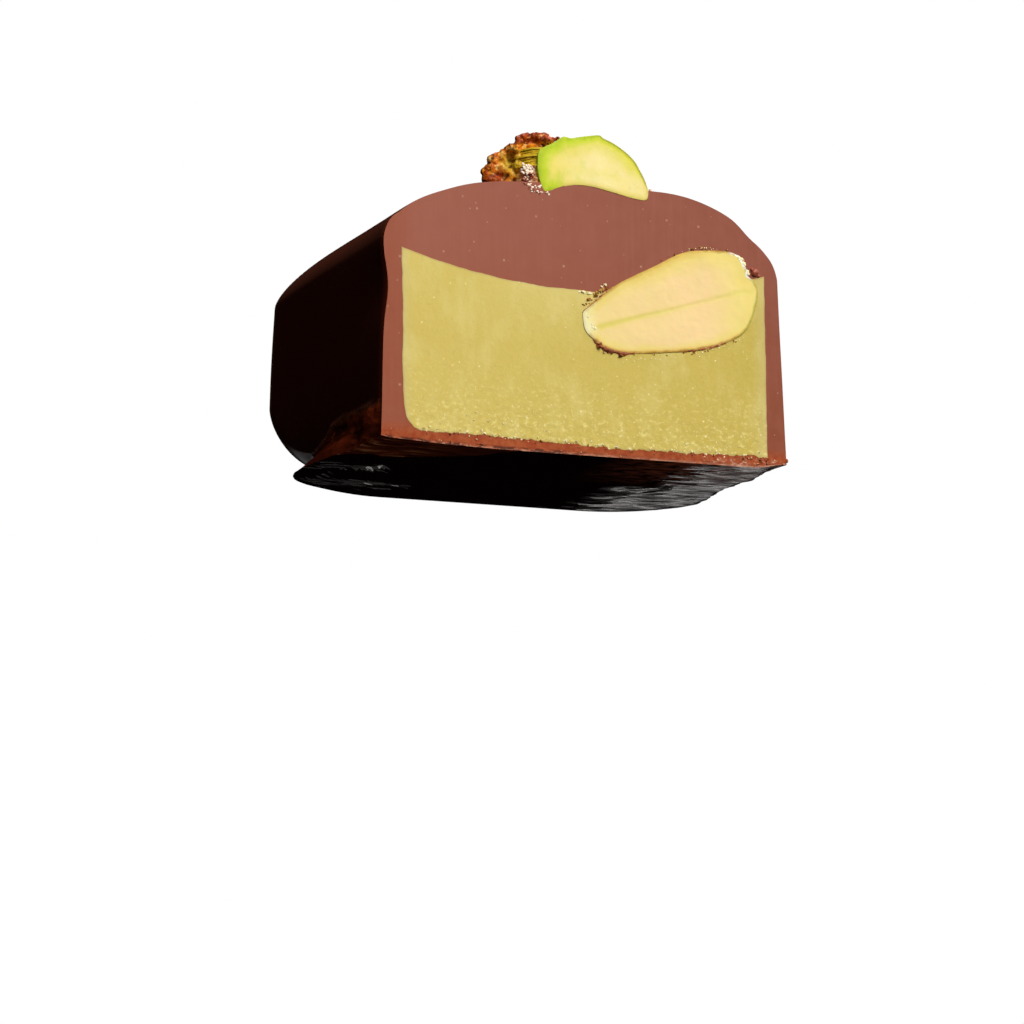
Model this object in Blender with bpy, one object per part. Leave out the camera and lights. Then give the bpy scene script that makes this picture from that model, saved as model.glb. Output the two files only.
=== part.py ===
"""Half of a cut chocolate praline, with its pistachio filling and pistachio pieces.

The cut face looks along -Y and the praline rests on z = 0. The whole body is lofted first,
from its foot to the top of its dome, and one straight cut then opens the coating, the filling
and both pistachios together.
"""

import math

import bmesh
import bpy
from mathutils import Matrix, Vector, noise

MM = 0.001

# Overall size
LENGTH = 21.1 * MM            # cut face to the far end
HALF_WIDTH = 13.3 * MM        # middle to a side wall, low on the wall
TOP_HALF_WIDTH = 13.05 * MM   # middle to a side wall, where the dome begins
SHOULDER_HEIGHT = 12.25 * MM  # where the walls end and the dome begins
DOME_RISE = 4.6 * MM          # shoulder to the top of the dome
GAP = 0.3 * MM                # clearance between pieces that touch
CUT_Y = -LENGTH / 2

# Body: its middle lies just behind the cut, and its far corners are tight
MIDDLE_BEHIND_CUT = 1.0 * MM
BODY_MIDDLE_Y = CUT_Y + MIDDLE_BEHIND_CUT
BODY_HALF_LENGTH = LENGTH - MIDDLE_BEHIND_CUT
CORNER_RADIUS = 2.6 * MM
DOME_TAPER = 0.35 * MM        # how far the far end leans in, from the bulge to the shoulder

# Underside of the far end: it bulges out over a waist, and the foot below is smaller still
BULGE_HEIGHT = 5.5 * MM
BULGE_POWER = 1.34            # roundness of the overhang
WAIST_HEIGHT = 1.3 * MM
WAIST_HALF_LENGTH = 17.3 * MM
WAIST_CORNER = 7.7 * MM
WAIST_NARROWING = 0.03        # of the width, away from the cut

# Dome: a rounded top that is fuller on the left and sinks towards the far end
SHOULDER_SKEW = 0.35 * MM
RISE_SKEW = 0.4 * MM
DOME_POWER = 3.6
DOME_POWER_SKEW = 0.4
DOME_ROUNDING = 1.5
DOME_ROUNDING_SKEW = 0.1
FAR_END_DROP = 0.53 * MM
DOME_CORNER_GROWTH = 8.6 * MM
DOME_CORNER_LIMIT = 0.98      # of a ring's half-width
DOME_RING_REACH = (0.985, 0.96, 0.92, 0.86, 0.78, 0.68, 0.56, 0.42, 0.28, 0.13)

# Foot: the thin base, which spread out to the left before it set
FOOT_HALF_LENGTH = 15.6 * MM
FOOT_CORNER = 6.5 * MM
FOOT_RIM = 0.25 * MM
SKIRT_SPREAD = 1.1 * MM       # how far the foot reaches past the left wall
SKIRT_HEIGHT = 2.9 * MM       # it runs up the left wall to this height
SKIRT_START = 5.0 * MM        # behind the cut, where it has its full spread
CENTRING = (SKIRT_SPREAD - HALF_WIDTH * WAIST_NARROWING) / 2  # brings the box's middle to x = 0

# Filling: the paste inside, under a surface that climbs the walls
WALL_LEFT = 1.15 * MM
WALL_RIGHT = 1.05 * MM
WALL_FAR = 1.3 * MM
BASE_THICKNESS = 0.75 * MM
FILLING_TOP = 10.25 * MM      # in the middle
FILLING_CLIMB = 1.8 * MM      # how much higher it stands at the walls
FILLING_CLIMB_POWER = 8       # how suddenly it climbs at the far wall
FILLING_CORNER = 1.6 * MM
FILLING_EDGE = 0.7 * MM       # rounding at the bottom edge
FILLING_RING_HEIGHTS = (WAIST_HEIGHT * 2, (WAIST_HEIGHT + BULGE_HEIGHT) / 2, BULGE_HEIGHT)
FILLING_RING_REACH = (1.0, 0.8, 0.55, 0.3)

# Pistachio in the filling: an egg-shaped kernel, cut along its length
KERNEL_SIZE = Vector((11.7, 6.0, 5.9)) * MM
KERNEL_MIDDLE = Vector((5.7 * MM, CUT_Y, 9.75 * MM))
KERNEL_TILT = math.radians(11.5)
KERNEL_TAPER = 0.45           # how much the upper side slims towards the left end
KERNEL_GAP = 0.2 * MM

# Topping: a pistachio end on the dome, cut with the praline, and the torn skin beside it
NUT_SIZE = Vector((8.4, 8.8, 6.5)) * MM
NUT_MIDDLE = Vector((0.3 * MM, CUT_Y, 16.85 * MM))
NUT_TILT = math.radians(-6)
NUT_END = -2.9 * MM           # where the kernel stops and the skin goes on
SKIN_SIZE = Vector((6.6, 5.6, 5.8)) * MM
SKIN_MIDDLE = Vector((-3.1 * MM, CUT_Y + 1.9 * MM, 17.5 * MM))
SKIN_TILT = math.radians(12)
SKIN_CRAG = 0.5 * MM          # depth of its folds
SKIN_CRAG_SIZE = 1.6 * MM     # distance from fold to fold
SKIN_CRAG_LEVEL = 0.8         # where the pattern of folds leaves the skin as it is

# Shallow break under the front left corner of the foot
CHIP_RISE = 0.45 * MM
CHIP_WIDTH = 12.0 * MM
CHIP_DEPTH = 6.0 * MM

# Mesh steps round a corner, along a side, along an end, up the bulge, round the filling's
# bottom edge, and round the nuts and the torn skin
CORNER_STEPS = 7
SIDE_STEPS = 8
END_STEPS = 4
BULGE_STEPS = 5
FILLING_STEPS = 3
NUT_STEPS = 24
SKIN_STEPS = 36
SKIRT_LEVELS = (0.6 * MM, 0.95 * MM)
SHARP_ANGLE = math.radians(35)   # faces that meet at more than this keep their edge


def new_collection(name):
    collection = bpy.data.collections.new(name)
    bpy.context.scene.collection.children.link(collection)
    return collection


def material(name, colour, roughness):
    """Material with one colour."""
    made = bpy.data.materials.new(name)
    made.use_nodes = True
    shader = made.node_tree.nodes["Principled BSDF"]
    shader.inputs["Base Color"].default_value = (*colour, 1.0)
    shader.inputs["Roughness"].default_value = roughness
    shader.inputs["Metallic"].default_value = 0.0
    return made


def place(name, bm, collection, finish=None):
    """Object made of the mesh in bm, with its normals pointing out, held by the centre empty."""
    bmesh.ops.recalc_face_normals(bm, faces=bm.faces)
    mesh = bpy.data.meshes.new(name)
    bm.to_mesh(mesh)
    bm.free()
    made = bpy.data.objects.new(name, mesh)
    made.parent = centre
    collection.objects.link(made)
    if finish:
        mesh.materials.append(finish)
        mesh.shade_smooth()
        mesh.set_sharp_from_angle(angle=SHARP_ANGLE)
    else:
        made.hide_render = True
        made.display_type = "WIRE"
    return made


def cut(piece, *tools):
    """Take the tools' shapes out of a piece."""
    for tool in tools:
        step = piece.modifiers.new("cut " + tool.name, "BOOLEAN")
        step.operation = "DIFFERENCE"
        step.solver = "EXACT"
        step.object = tool


def smooth_step(value):
    value = min(max(value, 0.0), 1.0)
    return value * value * (3 - 2 * value)


def plan(left, right, half_length, corner):
    """Rounded rectangle round the body's middle, as (x, y) pairs, anticlockwise."""
    back = BODY_MIDDLE_Y + half_length
    front = BODY_MIDDLE_Y - half_length
    corners = (
        (right - corner, back - corner, END_STEPS),
        (corner - left, back - corner, SIDE_STEPS),
        (corner - left, front + corner, END_STEPS),
        (right - corner, front + corner, SIDE_STEPS),
    )
    points = []
    for quarter, (x, y, edge_steps) in enumerate(corners):
        for step in range(CORNER_STEPS + 1):
            angle = math.pi / 2 * (quarter + step / CORNER_STEPS)
            points.append(Vector((x + corner * math.cos(angle), y + corner * math.sin(angle))))
        x, y, _ = corners[(quarter + 1) % 4]
        angle = math.pi / 2 * (quarter + 1)
        start = points[-1]
        end = Vector((x + corner * math.cos(angle), y + corner * math.sin(angle)))
        for step in range(1, edge_steps):
            points.append(start.lerp(end, step / edge_steps))
    return points


def loft(rings, top=None):
    """Closed solid through a list of rings, each with the same number of points."""
    bm = bmesh.new()
    loops = [[bm.verts.new(point) for point in ring] for ring in rings]
    bm.faces.new(loops[0])
    for lower, upper in zip(loops, loops[1:]):
        for index, corner in enumerate(lower):
            after = (index + 1) % len(lower)
            bm.faces.new((corner, lower[after], upper[after], upper[index]))
    if top:
        peak = bm.verts.new(top)
        for index, corner in enumerate(loops[-1]):
            bm.faces.new((corner, loops[-1][(index + 1) % len(rings[0])], peak))
    else:
        bm.faces.new(loops[-1])
    return bm


def under_far_end(height):
    """Half-length, corner radius and narrowing of the body's plan at a height."""
    if height < WAIST_HEIGHT:
        share = height / WAIST_HEIGHT
        low = (FOOT_HALF_LENGTH, FOOT_CORNER, WAIST_NARROWING)
        high = (WAIST_HALF_LENGTH, WAIST_CORNER, WAIST_NARROWING)
    else:
        rise = min((height - WAIST_HEIGHT) / (BULGE_HEIGHT - WAIST_HEIGHT), 1.0)
        share = (1 - (1 - rise) ** BULGE_POWER) ** (1 / BULGE_POWER)
        low = (WAIST_HALF_LENGTH, WAIST_CORNER, WAIST_NARROWING)
        high = (BODY_HALF_LENGTH, CORNER_RADIUS, 0.0)
    return [a + (b - a) * share for a, b in zip(low, high)]


def body_ring(height):
    """Ring round the body between the base and the bulge."""
    wide = HALF_WIDTH + (TOP_HALF_WIDTH - HALF_WIDTH) * height / SHOULDER_HEIGHT
    half_length, corner, narrowing = under_far_end(height)
    skirt = SKIRT_SPREAD
    if height > FOOT_RIM:
        skirt *= max(1 - (height - FOOT_RIM) / (SKIRT_HEIGHT - FOOT_RIM), 0.0) ** 2
    ring = []
    for point in plan(wide, wide, half_length, corner):
        behind_cut = smooth_step((point.y - CUT_Y) / SKIRT_START)
        x = point.x * (1 - narrowing * behind_cut)
        x += skirt * min(point.x / wide, 0.0) * behind_cut
        ring.append((x, point.y, height))
    return ring


def dome_ring(reach, outset=0.0):
    """Ring on the dome, where reach is 0 at its middle and 1 at the shoulder."""
    wide = (TOP_HALF_WIDTH + outset) * reach
    half_length = (BODY_HALF_LENGTH - DOME_TAPER + outset) * reach
    corner = CORNER_RADIUS * reach + DOME_CORNER_GROWTH * reach * (1 - reach)
    ring = plan(wide, wide, half_length, min(corner, wide * DOME_CORNER_LIMIT))
    return [(p.x, p.y, dome_height(p.x, p.y, reach) + outset) for p in ring]


def dome_height(x, y, reach):
    """Height of the dome, where reach is 0 at its middle and 1 at the shoulder."""
    side = x / TOP_HALF_WIDTH
    power = DOME_POWER + DOME_POWER_SKEW * side
    rounding = DOME_ROUNDING - DOME_ROUNDING_SKEW * side
    rise = (DOME_RISE + RISE_SKEW * side) * (1 - reach ** power) ** (1 / rounding)
    drop = FAR_END_DROP * min(max((y - CUT_Y) / LENGTH, 0.0), 1.0) ** 2
    return SHOULDER_HEIGHT - SHOULDER_SKEW * side + rise - drop


def body():
    """The whole praline's outside, before it is cut."""
    rings = [body_ring(height) for height in (0.0, FOOT_RIM, *SKIRT_LEVELS)]
    for step in range(BULGE_STEPS):
        share = step / (BULGE_STEPS - 1)
        rings.append(body_ring(WAIST_HEIGHT + (BULGE_HEIGHT - WAIST_HEIGHT) * share))
    rings += [dome_ring(reach) for reach in (1.0, *DOME_RING_REACH)]
    return loft(rings, (0.0, BODY_MIDDLE_Y, dome_height(0.0, BODY_MIDDLE_Y, 0.0)))


def dome_seat():
    """Space under the topping: the dome, a gap higher."""
    rings = [dome_ring(reach, GAP) for reach in (1.0, *DOME_RING_REACH)]
    floor = [(x, y, WAIST_HEIGHT) for x, y, _ in rings[0]]
    top = (0.0, BODY_MIDDLE_Y, dome_height(0.0, BODY_MIDDLE_Y, 0.0) + GAP)
    return loft([floor, *rings], top)


def paste(outset):
    """The filling's shape: a block with round edges under a hollow surface, moved by an outset."""
    left = HALF_WIDTH - WALL_LEFT + outset
    right = HALF_WIDTH - WALL_RIGHT + outset
    rings = []
    for step in range(FILLING_STEPS + 1):
        angle = math.pi / 2 * step / FILLING_STEPS
        inset = FILLING_EDGE * (1 - math.sin(angle))
        height = BASE_THICKNESS - outset + FILLING_EDGE * (1 - math.cos(angle))
        rings.append(paste_ring(left - inset, right - inset, height, outset - inset))
    for height in FILLING_RING_HEIGHTS:
        rings.append(paste_ring(left, right, height, outset))
    half_length = BODY_HALF_LENGTH - WALL_FAR + outset
    for reach in FILLING_RING_REACH:
        ring = plan(left * reach, right * reach, half_length * reach, FILLING_CORNER * reach)
        rings.append([(p.x, p.y, paste_height(p.x, reach) + outset) for p in ring])
    return loft(rings, (0.0, BODY_MIDDLE_Y, FILLING_TOP + outset))


def paste_ring(left, right, height, outset):
    """Ring of the filling, at an even distance inside the body."""
    half_length, corner, _ = under_far_end(height)
    corner = max(corner - WALL_FAR, FILLING_CORNER) + outset
    ring = plan(left, right, half_length - WALL_FAR + outset, corner)
    return [(p.x, p.y, height) for p in ring]


def paste_height(x, reach):
    """Surface of the filling, which climbs towards the walls."""
    return FILLING_TOP + FILLING_CLIMB * max((x / HALF_WIDTH) ** 2, reach ** FILLING_CLIMB_POWER)


def egg(size, middle, tilt, taper=0.0, outset=0.0, steps=NUT_STEPS):
    """Round body with its long axis along X, whose upper side can slim towards its left end."""
    bm = bmesh.new()
    bmesh.ops.create_uvsphere(bm, u_segments=steps, v_segments=steps // 2, radius=1.0)
    bmesh.ops.rotate(bm, matrix=Matrix.Rotation(math.pi / 2, 3, "Y"), verts=bm.verts)
    for vert in bm.verts:
        if vert.co.z > 0:
            vert.co.z *= 1 + taper * vert.co.x
    bmesh.ops.scale(bm, vec=size / 2 + Vector((outset, outset, outset)), verts=bm.verts)
    bmesh.ops.rotate(bm, matrix=Matrix.Rotation(-tilt, 3, "Y"), verts=bm.verts)
    bmesh.ops.translate(bm, vec=middle, verts=bm.verts)
    return bm


def crags(bm):
    """Fold the surface of the torn skin."""
    bm.normal_update()
    for vert in bm.verts:
        fold = noise.turbulence(vert.co / SKIN_CRAG_SIZE, 2, True)
        vert.co += vert.normal * (fold - SKIN_CRAG_LEVEL) * SKIN_CRAG
    return bm


def block(lowest, highest):
    """Box between two corners."""
    bm = bmesh.new()
    size = Vector(highest) - Vector(lowest)
    bmesh.ops.create_cube(bm, size=1.0)
    bmesh.ops.scale(bm, vec=size, verts=bm.verts)
    bmesh.ops.translate(bm, vec=Vector(lowest) + size / 2, verts=bm.verts)
    return bm


def chip_wedge():
    """Thin wedge under the foot: thickest at the front left corner, it runs out to the right."""
    bm = bmesh.new()
    front = CUT_Y - GAP
    low = -GAP
    edge = -HALF_WIDTH - SKIRT_SPREAD - GAP
    corners = (
        (edge, front, low),
        (edge + CHIP_WIDTH, front, low),
        (edge, front + CHIP_DEPTH, low),
        (edge, front, CHIP_RISE),
    )
    verts = [bm.verts.new(corner) for corner in corners]
    for face in ((0, 1, 2), (0, 3, 1), (0, 2, 3), (1, 3, 2)):
        bm.faces.new([verts[index] for index in face])
    return bm


for old in list(bpy.data.objects):
    bpy.data.objects.remove(old)

parts = new_collection("chocolate_praline")
tools = new_collection("cutters")
centre = bpy.data.objects.new("centre", None)
centre.location = (CENTRING, 0.0, 0.0)
parts.objects.link(centre)

# Tools, which reach clear of the body: the straight cut, the space for the filling, the pocket
# round the kernel, the seat of the topping, the chip, and the cuts where the topping's kernel
# and skin meet
clear = LENGTH * 2
knife = place("knife", block((-clear, CUT_Y - clear, -clear), (clear, CUT_Y, clear)), tools)
hollow = place("hollow", paste(GAP / 2), tools)
pocket = place(
    "pocket", egg(KERNEL_SIZE, KERNEL_MIDDLE, KERNEL_TILT, KERNEL_TAPER, KERNEL_GAP), tools
)
seat = place("seat", dome_seat(), tools)
chip = place("chip", chip_wedge(), tools)
left_of_nut = place("left_of_nut", block((-clear, -clear, 0), (NUT_END, clear, clear)), tools)
right_of_skin = place(
    "right_of_skin", block((NUT_END - GAP, -clear, 0), (clear, clear, clear)), tools
)

# Coating: moulded chocolate round the filling, with its base
coating = place("coating", body(), parts, material("chocolate", (0.20, 0.06, 0.035), 0.35))
cut(coating, knife, hollow, pocket, chip)

# Filling: pistachio paste, opened by the cut
filling = place("filling", paste(-GAP / 2), parts, material("pistachio_paste", (0.60, 0.47, 0.15), 0.6))
cut(filling, knife, pocket)

# Pistachio in the filling
kernel = place(
    "kernel",
    egg(KERNEL_SIZE, KERNEL_MIDDLE, KERNEL_TILT, KERNEL_TAPER),
    parts,
    material("kernel", (0.92, 0.70, 0.33), 0.55),
)
cut(kernel, knife)

# Pistachio on the dome: green kernel and torn brown skin
topping_kernel = place(
    "topping_kernel",
    egg(NUT_SIZE, NUT_MIDDLE, NUT_TILT),
    parts,
    material("green_kernel", (0.75, 0.72, 0.12), 0.5),
)
cut(topping_kernel, knife, seat, left_of_nut)
topping_skin = place(
    "topping_skin",
    crags(egg(SKIN_SIZE, SKIN_MIDDLE, SKIN_TILT, steps=SKIN_STEPS)),
    parts,
    material("skin", (0.35, 0.13, 0.03), 0.7),
)
cut(topping_skin, knife, seat, right_of_skin)
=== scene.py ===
import math
import random

import bpy
import numpy as np
from mathutils import Matrix, Vector, noise


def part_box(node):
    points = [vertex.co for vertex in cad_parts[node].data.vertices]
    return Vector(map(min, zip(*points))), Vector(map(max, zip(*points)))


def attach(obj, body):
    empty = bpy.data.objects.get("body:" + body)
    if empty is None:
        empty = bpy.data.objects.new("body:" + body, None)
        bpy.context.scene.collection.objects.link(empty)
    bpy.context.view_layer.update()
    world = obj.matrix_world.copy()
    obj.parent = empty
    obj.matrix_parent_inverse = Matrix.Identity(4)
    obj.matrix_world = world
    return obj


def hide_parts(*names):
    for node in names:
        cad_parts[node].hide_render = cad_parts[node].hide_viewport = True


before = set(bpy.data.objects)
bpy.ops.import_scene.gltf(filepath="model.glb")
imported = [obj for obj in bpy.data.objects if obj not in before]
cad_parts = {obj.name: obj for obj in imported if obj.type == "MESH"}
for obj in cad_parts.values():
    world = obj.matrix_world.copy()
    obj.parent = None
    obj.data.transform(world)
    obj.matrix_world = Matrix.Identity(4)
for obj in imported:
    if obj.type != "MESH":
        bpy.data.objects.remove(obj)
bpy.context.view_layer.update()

# Chocolate coating. Milk chocolate cast in a mould round the filling and closed with a thin
# base that ran out past the left wall before it set: glossy outside, satin where the knife went
# through, torn where a flake broke off under its front corner. All lengths are in millimetres.
MM = 0.001
coating_low, coating_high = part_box("coating")
CUT_Y = coating_low.y / MM
LENGTH = coating_high.y / MM - CUT_Y
MIDDLE_X = 0.35                           # the spread base moves the box's middle off the walls'
START = np.array((MIDDLE_X, CUT_Y, 0))    # middle of the cut's bottom edge

WALL_FOOT_LEFT, WALL_FOOT_RIGHT = 13.43, 13.52
WALL_LEAN = 0.034
WALL_WAVES = ((9.5, 1.6, 0.22), (12.2, 1.2, -0.13))   # height, reach and amount, on the left by the cut
SHOULDER = 12.25
TOP_HALF_WIDTH = 13.05
DOME_RISE, DOME_TAPER = 4.6, 0.35
CORNER, DOME_CORNER_GROWTH = 2.6, 8.6
FAR_END_DROP = 0.53
FOOT_LENGTH, FOOT_CORNER = 16.6, 6.5
WAIST, WAIST_LENGTH, WAIST_CORNER = 1.3, 18.3, 7.7
BULGE, BULGE_POWER = 5.75, 1.5
NARROWING = 0.03
SKIRT_SPREAD = (
    (0, 0), (1, 0.1), (2, 0.34), (4, 1.03), (5.5, 1.45), (7, 1.7), (12.2, 1.7), (13.2, 1.6), (14.2, 1.28),
    (15.2, 0.5), (16.2, 0),
)
SKIRT_HEIGHT = ((0, 2.9), (3, 2.9), (6.8, 3.0), (8.6, 2.8), (9.6, 2.2), (11.6, 1.7), (12.6, 1.1), (14.5, 0.3))
SKIRT_END_X, SKIRT_END_Y = -11, 14
SKIRT_HUMPS = (                           # behind the cut, height, the reach of both, amount
    (1.9, 1.7, 1.1, 0.75, 0.9), (0.3, 2.3, 0.5, 0.9, 0.6), (5.2, 0.7, 1.0, 0.45, 0.25),
    (8.8, 0.6, 1.6, 0.5, 0.1), (3.7, 1.0, 0.7, 0.7, -0.8), (6.6, 1.8, 1.3, 0.4, -0.7),
    (1.2, 2.75, 0.8, 0.25, -0.3), (10.5, 1.1, 1.2, 0.3, -0.5),
)
SKIRT_RELIEF = 0.4
RIGHT_FOOT = (
    (0, 0), (0.3, -0.3), (1, -0.7), (2.2, -0.45), (3.6, -0.27), (4.8, -0.5), (6.5, -0.55), (8.2, -0.6),
    (9.2, -0.38), (11.9, 0.2), (14.1, 0.12), (16, 0),
)
RIGHT_FOOT_HEIGHT = 0.75
TRIM = ((6.5, 2.6, 0.16), (11.25, 0.75, -0.26), (12.75, 0.3, 0.1), (-9.3, 1.5, -0.09), (-12.6, 0.35, 0.15))
BREAK_REACH = ((-15, 5.0), (-12.7, 4.4), (-10.4, 4.5), (-7.3, 3.2), (-5.5, 1.8), (-4.0, 0.0))
BREAK_RISE = ((-13.9, 0.46), (-13.0, 0.26), (-9.3, 0.08), (-5.7, 0.0))
BREAK_END_X, BREAK_STEPS = -3.5, 3
BASE_EDGE = 0.6
ROW_POWER = 1.25                          # rows of points lie closer together near the foot
CHIPS, UNDER_STREAKS, UNEVENNESS, DRAG_LINES = 0.22, 0.05, 0.05, 0.006


def smooth_step(value):
    value = np.clip(value, 0.0, 1.0)
    return value * value * (3 - 2 * value)


def bell(distance):
    """1 at no distance, falling off softly on both sides."""
    return np.exp(-(distance ** 2))


def table(value, rows):
    """Amount at a value, between rows of (value, amount)."""
    return np.interp(value, *zip(*rows))


def deselect_all():
    for item in bpy.context.selected_objects:
        item.select_set(False)


def name_piece(name):
    """Names the object that is being worked on, and its mesh."""
    piece = bpy.context.active_object
    piece.name = name
    piece.data.name = name
    return piece


def shape_of(piece):
    """The points of a primitive, as it was added."""
    flat = np.empty(len(piece.data.vertices) * 3)
    piece.data.vertices.foreach_get("co", flat)
    return flat.reshape(-1, 3)


def points_of(piece):
    """The piece's points, from the middle of the cut's bottom edge."""
    return shape_of(piece) / MM - START


def move_points(piece, *points):
    """Puts the points at x, y and z, from the middle of the cut's bottom edge."""
    points = np.stack(points, axis=1) if len(points) == 3 else points[0]
    piece.data.vertices.foreach_set("co", ((points + START) * MM).ravel())
    piece.data.update()


def normals_of(piece):
    flat = np.empty(len(piece.data.vertices) * 3)
    piece.data.vertex_normals.foreach_get("vector", flat)
    return flat.reshape(-1, 3)


def block(name, cuts):
    """New cube with rows of points on its sides, and these points, from -1 to 1."""
    deselect_all()
    bpy.ops.mesh.primitive_cube_add(size=2)
    bpy.ops.object.mode_set(mode="EDIT")
    bpy.ops.mesh.select_all(action="SELECT")
    bpy.ops.mesh.subdivide(number_cuts=cuts)
    bpy.ops.object.mode_set(mode="OBJECT")
    piece = name_piece(name)
    return piece, shape_of(piece)


def smooth_shading(angle):
    bpy.ops.object.shade_smooth_by_angle(angle=math.radians(angle))


def grains(points, size, seed):
    """Points counted in grains of a size along x, y and z, shifted by a seed."""
    return np.asarray(points) / size + (seed, 1.7 * seed, -0.6 * seed)


def lumps(points, size, seed=0.0, octaves=2):
    """Soft unevenness, about -1 to 1."""
    return np.array([noise.fractal(point, 1.0, 2.0, octaves) for point in grains(points, size, seed)])


def mark(piece, name, values):
    """Keeps a value for each point, which the piece's material reads."""
    layer = piece.data.attributes.new(name, "FLOAT", "POINT")
    layer.data.foreach_set("value", np.asarray(values, dtype=np.float32))


def plan(turn, left, right, far, corner):
    """Half a rounded rectangle behind the cut. Turn runs from 0, at the cut on the right, round
    the far end to 1, at the cut on the left."""
    after_bend = SIDE_TURN + BEND_TURN
    right_bend = np.clip((turn - SIDE_TURN) / BEND_TURN, 0, 1) * math.pi / 2
    left_bend = np.clip((turn - 1 + after_bend) / BEND_TURN, 0, 1) * math.pi / 2
    across = np.clip((turn - after_bend) / (1 - 2 * after_bend), 0, 1)
    straight = far - corner
    x = right - corner + corner * np.cos(right_bend)
    x = x - across * (right + left - 2 * corner) - corner * np.sin(left_bend)
    y = straight * np.clip(turn / SIDE_TURN, 0, 1) + corner * np.sin(right_bend)
    y = y - corner * (1 - np.cos(left_bend))
    return x, y - straight * np.clip((turn - 1 + SIDE_TURN) / SIDE_TURN, 0, 1)


def under_far_end(height):
    """Far reach, corner radius and narrowing of the body at a height."""
    low = np.clip(height / WAIST, 0, 1)
    rise = np.clip((height - WAIST) / (BULGE - WAIST), 0, 1)
    high = (1 - (1 - rise) ** BULGE_POWER) ** (1 / BULGE_POWER)
    lean = DOME_TAPER * np.clip((height - BULGE) / (SHOULDER - BULGE), 0, 1) ** 2
    far = FOOT_LENGTH + (WAIST_LENGTH - FOOT_LENGTH) * low + (LENGTH - WAIST_LENGTH) * high - lean
    corner = FOOT_CORNER + (WAIST_CORNER - FOOT_CORNER) * low + (CORNER - WAIST_CORNER) * high
    return far, corner, NARROWING * (1 - high)


def walls(turn, height):
    """Points on the walls and the foot."""
    left = WALL_FOOT_LEFT - WALL_LEAN * height
    right = WALL_FOOT_RIGHT - WALL_LEAN * height
    far, corner, narrowing = under_far_end(height)
    x, y = plan(turn, left, right, far, corner)
    waves = sum(amount * bell((height - middle) / wide) for middle, wide, amount in WALL_WAVES)
    x = x + waves * np.exp(-y / 2.5) * (x < 0)
    x = x * (1 - narrowing * smooth_step(y / 5))
    below = np.clip(1 - height / np.maximum(table(y, SKIRT_HEIGHT), 0.01), 0, 1)
    lip = 0.1 * smooth_step(below * 8) * smooth_step(y / 2)
    x = x + (table(y, SKIRT_SPREAD) * below ** 1.6 + lip) * np.minimum(x / left, 0)
    kicked = table(y, RIGHT_FOOT) * np.clip(1 - height / RIGHT_FOOT_HEIGHT, 0, 1) ** 1.5
    return x + kicked * np.maximum(x / right, 0), y


def dome_height(x, y, reach):
    """Height of the dome, where reach is 0 in its middle and 1 at the shoulder."""
    side = x / TOP_HALF_WIDTH
    trim = sum(amount * bell((x - middle) / wide) for middle, wide, amount in TRIM)
    trim = trim * np.exp(-y / 5) * smooth_step((1 - reach) / 0.012)
    rise = (DOME_RISE + 0.4 * side) * (1 - reach ** (3.6 + 0.4 * side)) ** (1 / (1.5 - 0.1 * side))
    return SHOULDER - 0.35 * side + rise + trim - FAR_END_DROP * np.clip(y / LENGTH, 0, 1) ** 2


def rim_height(turn):
    """Height of the shoulder, where the walls end."""
    x, y = plan(turn, TOP_HALF_WIDTH, TOP_HALF_WIDTH, LENGTH - DOME_TAPER, CORNER)
    return dome_height(x, y, np.ones_like(x))


def dome(turn, reach):
    """Points on the dome, where reach is 0 in its middle and 1 at the shoulder."""
    wide, far = TOP_HALF_WIDTH * reach, (LENGTH - DOME_TAPER) * reach
    corner = np.minimum(CORNER * reach + DOME_CORNER_GROWTH * reach * (1 - reach), wide * 0.98)
    x, y = plan(turn, wide, wide, far, corner)
    z = dome_height(x, y, reach)
    edge, _ = walls(turn, rim_height(turn))
    rim, _ = plan(turn, TOP_HALF_WIDTH, TOP_HALF_WIDTH, LENGTH - DOME_TAPER, CORNER)
    return x + (edge - rim) * (1 - smooth_step((1 - reach) / 0.1)), y, z


straight, around, across = LENGTH - CORNER, CORNER * math.pi / 2, 2 * (WALL_FOOT_LEFT - CORNER)
SIDE_TURN = straight / (2 * straight + 2 * around + across)
BEND_TURN = around / (2 * straight + 2 * around + across)
FACE_TURN = SIDE_TURN + BEND_TURN / 2

coating, cube = block("chocolate_coating", 119)
u, behind, up = cube[:, 0], (cube[:, 1] + 1) / 2, (cube[:, 2] + 1) / 2
TOP, BOTTOM, FRONT = up > 1 - 1e-6, up < 1e-6, behind < 1e-6
ring = np.maximum(np.abs(u), behind)
safe = np.maximum(ring, 1e-9)
on_far_side = FACE_TURN + (1 - u / safe) / 2 * (1 - 2 * FACE_TURN)
turn = np.where(behind > np.abs(u), on_far_side, behind / safe * FACE_TURN)
turn = np.where((u < 0) & (behind <= np.abs(u)), 1 - behind / safe * FACE_TURN, turn)
wall_height = rim_height(turn) * up ** ROW_POWER
wall_x, wall_y = walls(turn, wall_height)
base_x, base_y = walls(turn, np.zeros_like(turn))
form = np.stack([wall_x, wall_y, wall_height], axis=1)
form[TOP] = np.stack(dome(turn, np.sin(ring * math.pi / 2)), axis=1)[TOP]
form[BOTTOM] = np.stack([base_x * ring, base_y * ring, np.zeros_like(ring)], axis=1)[BOTTOM]

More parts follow.
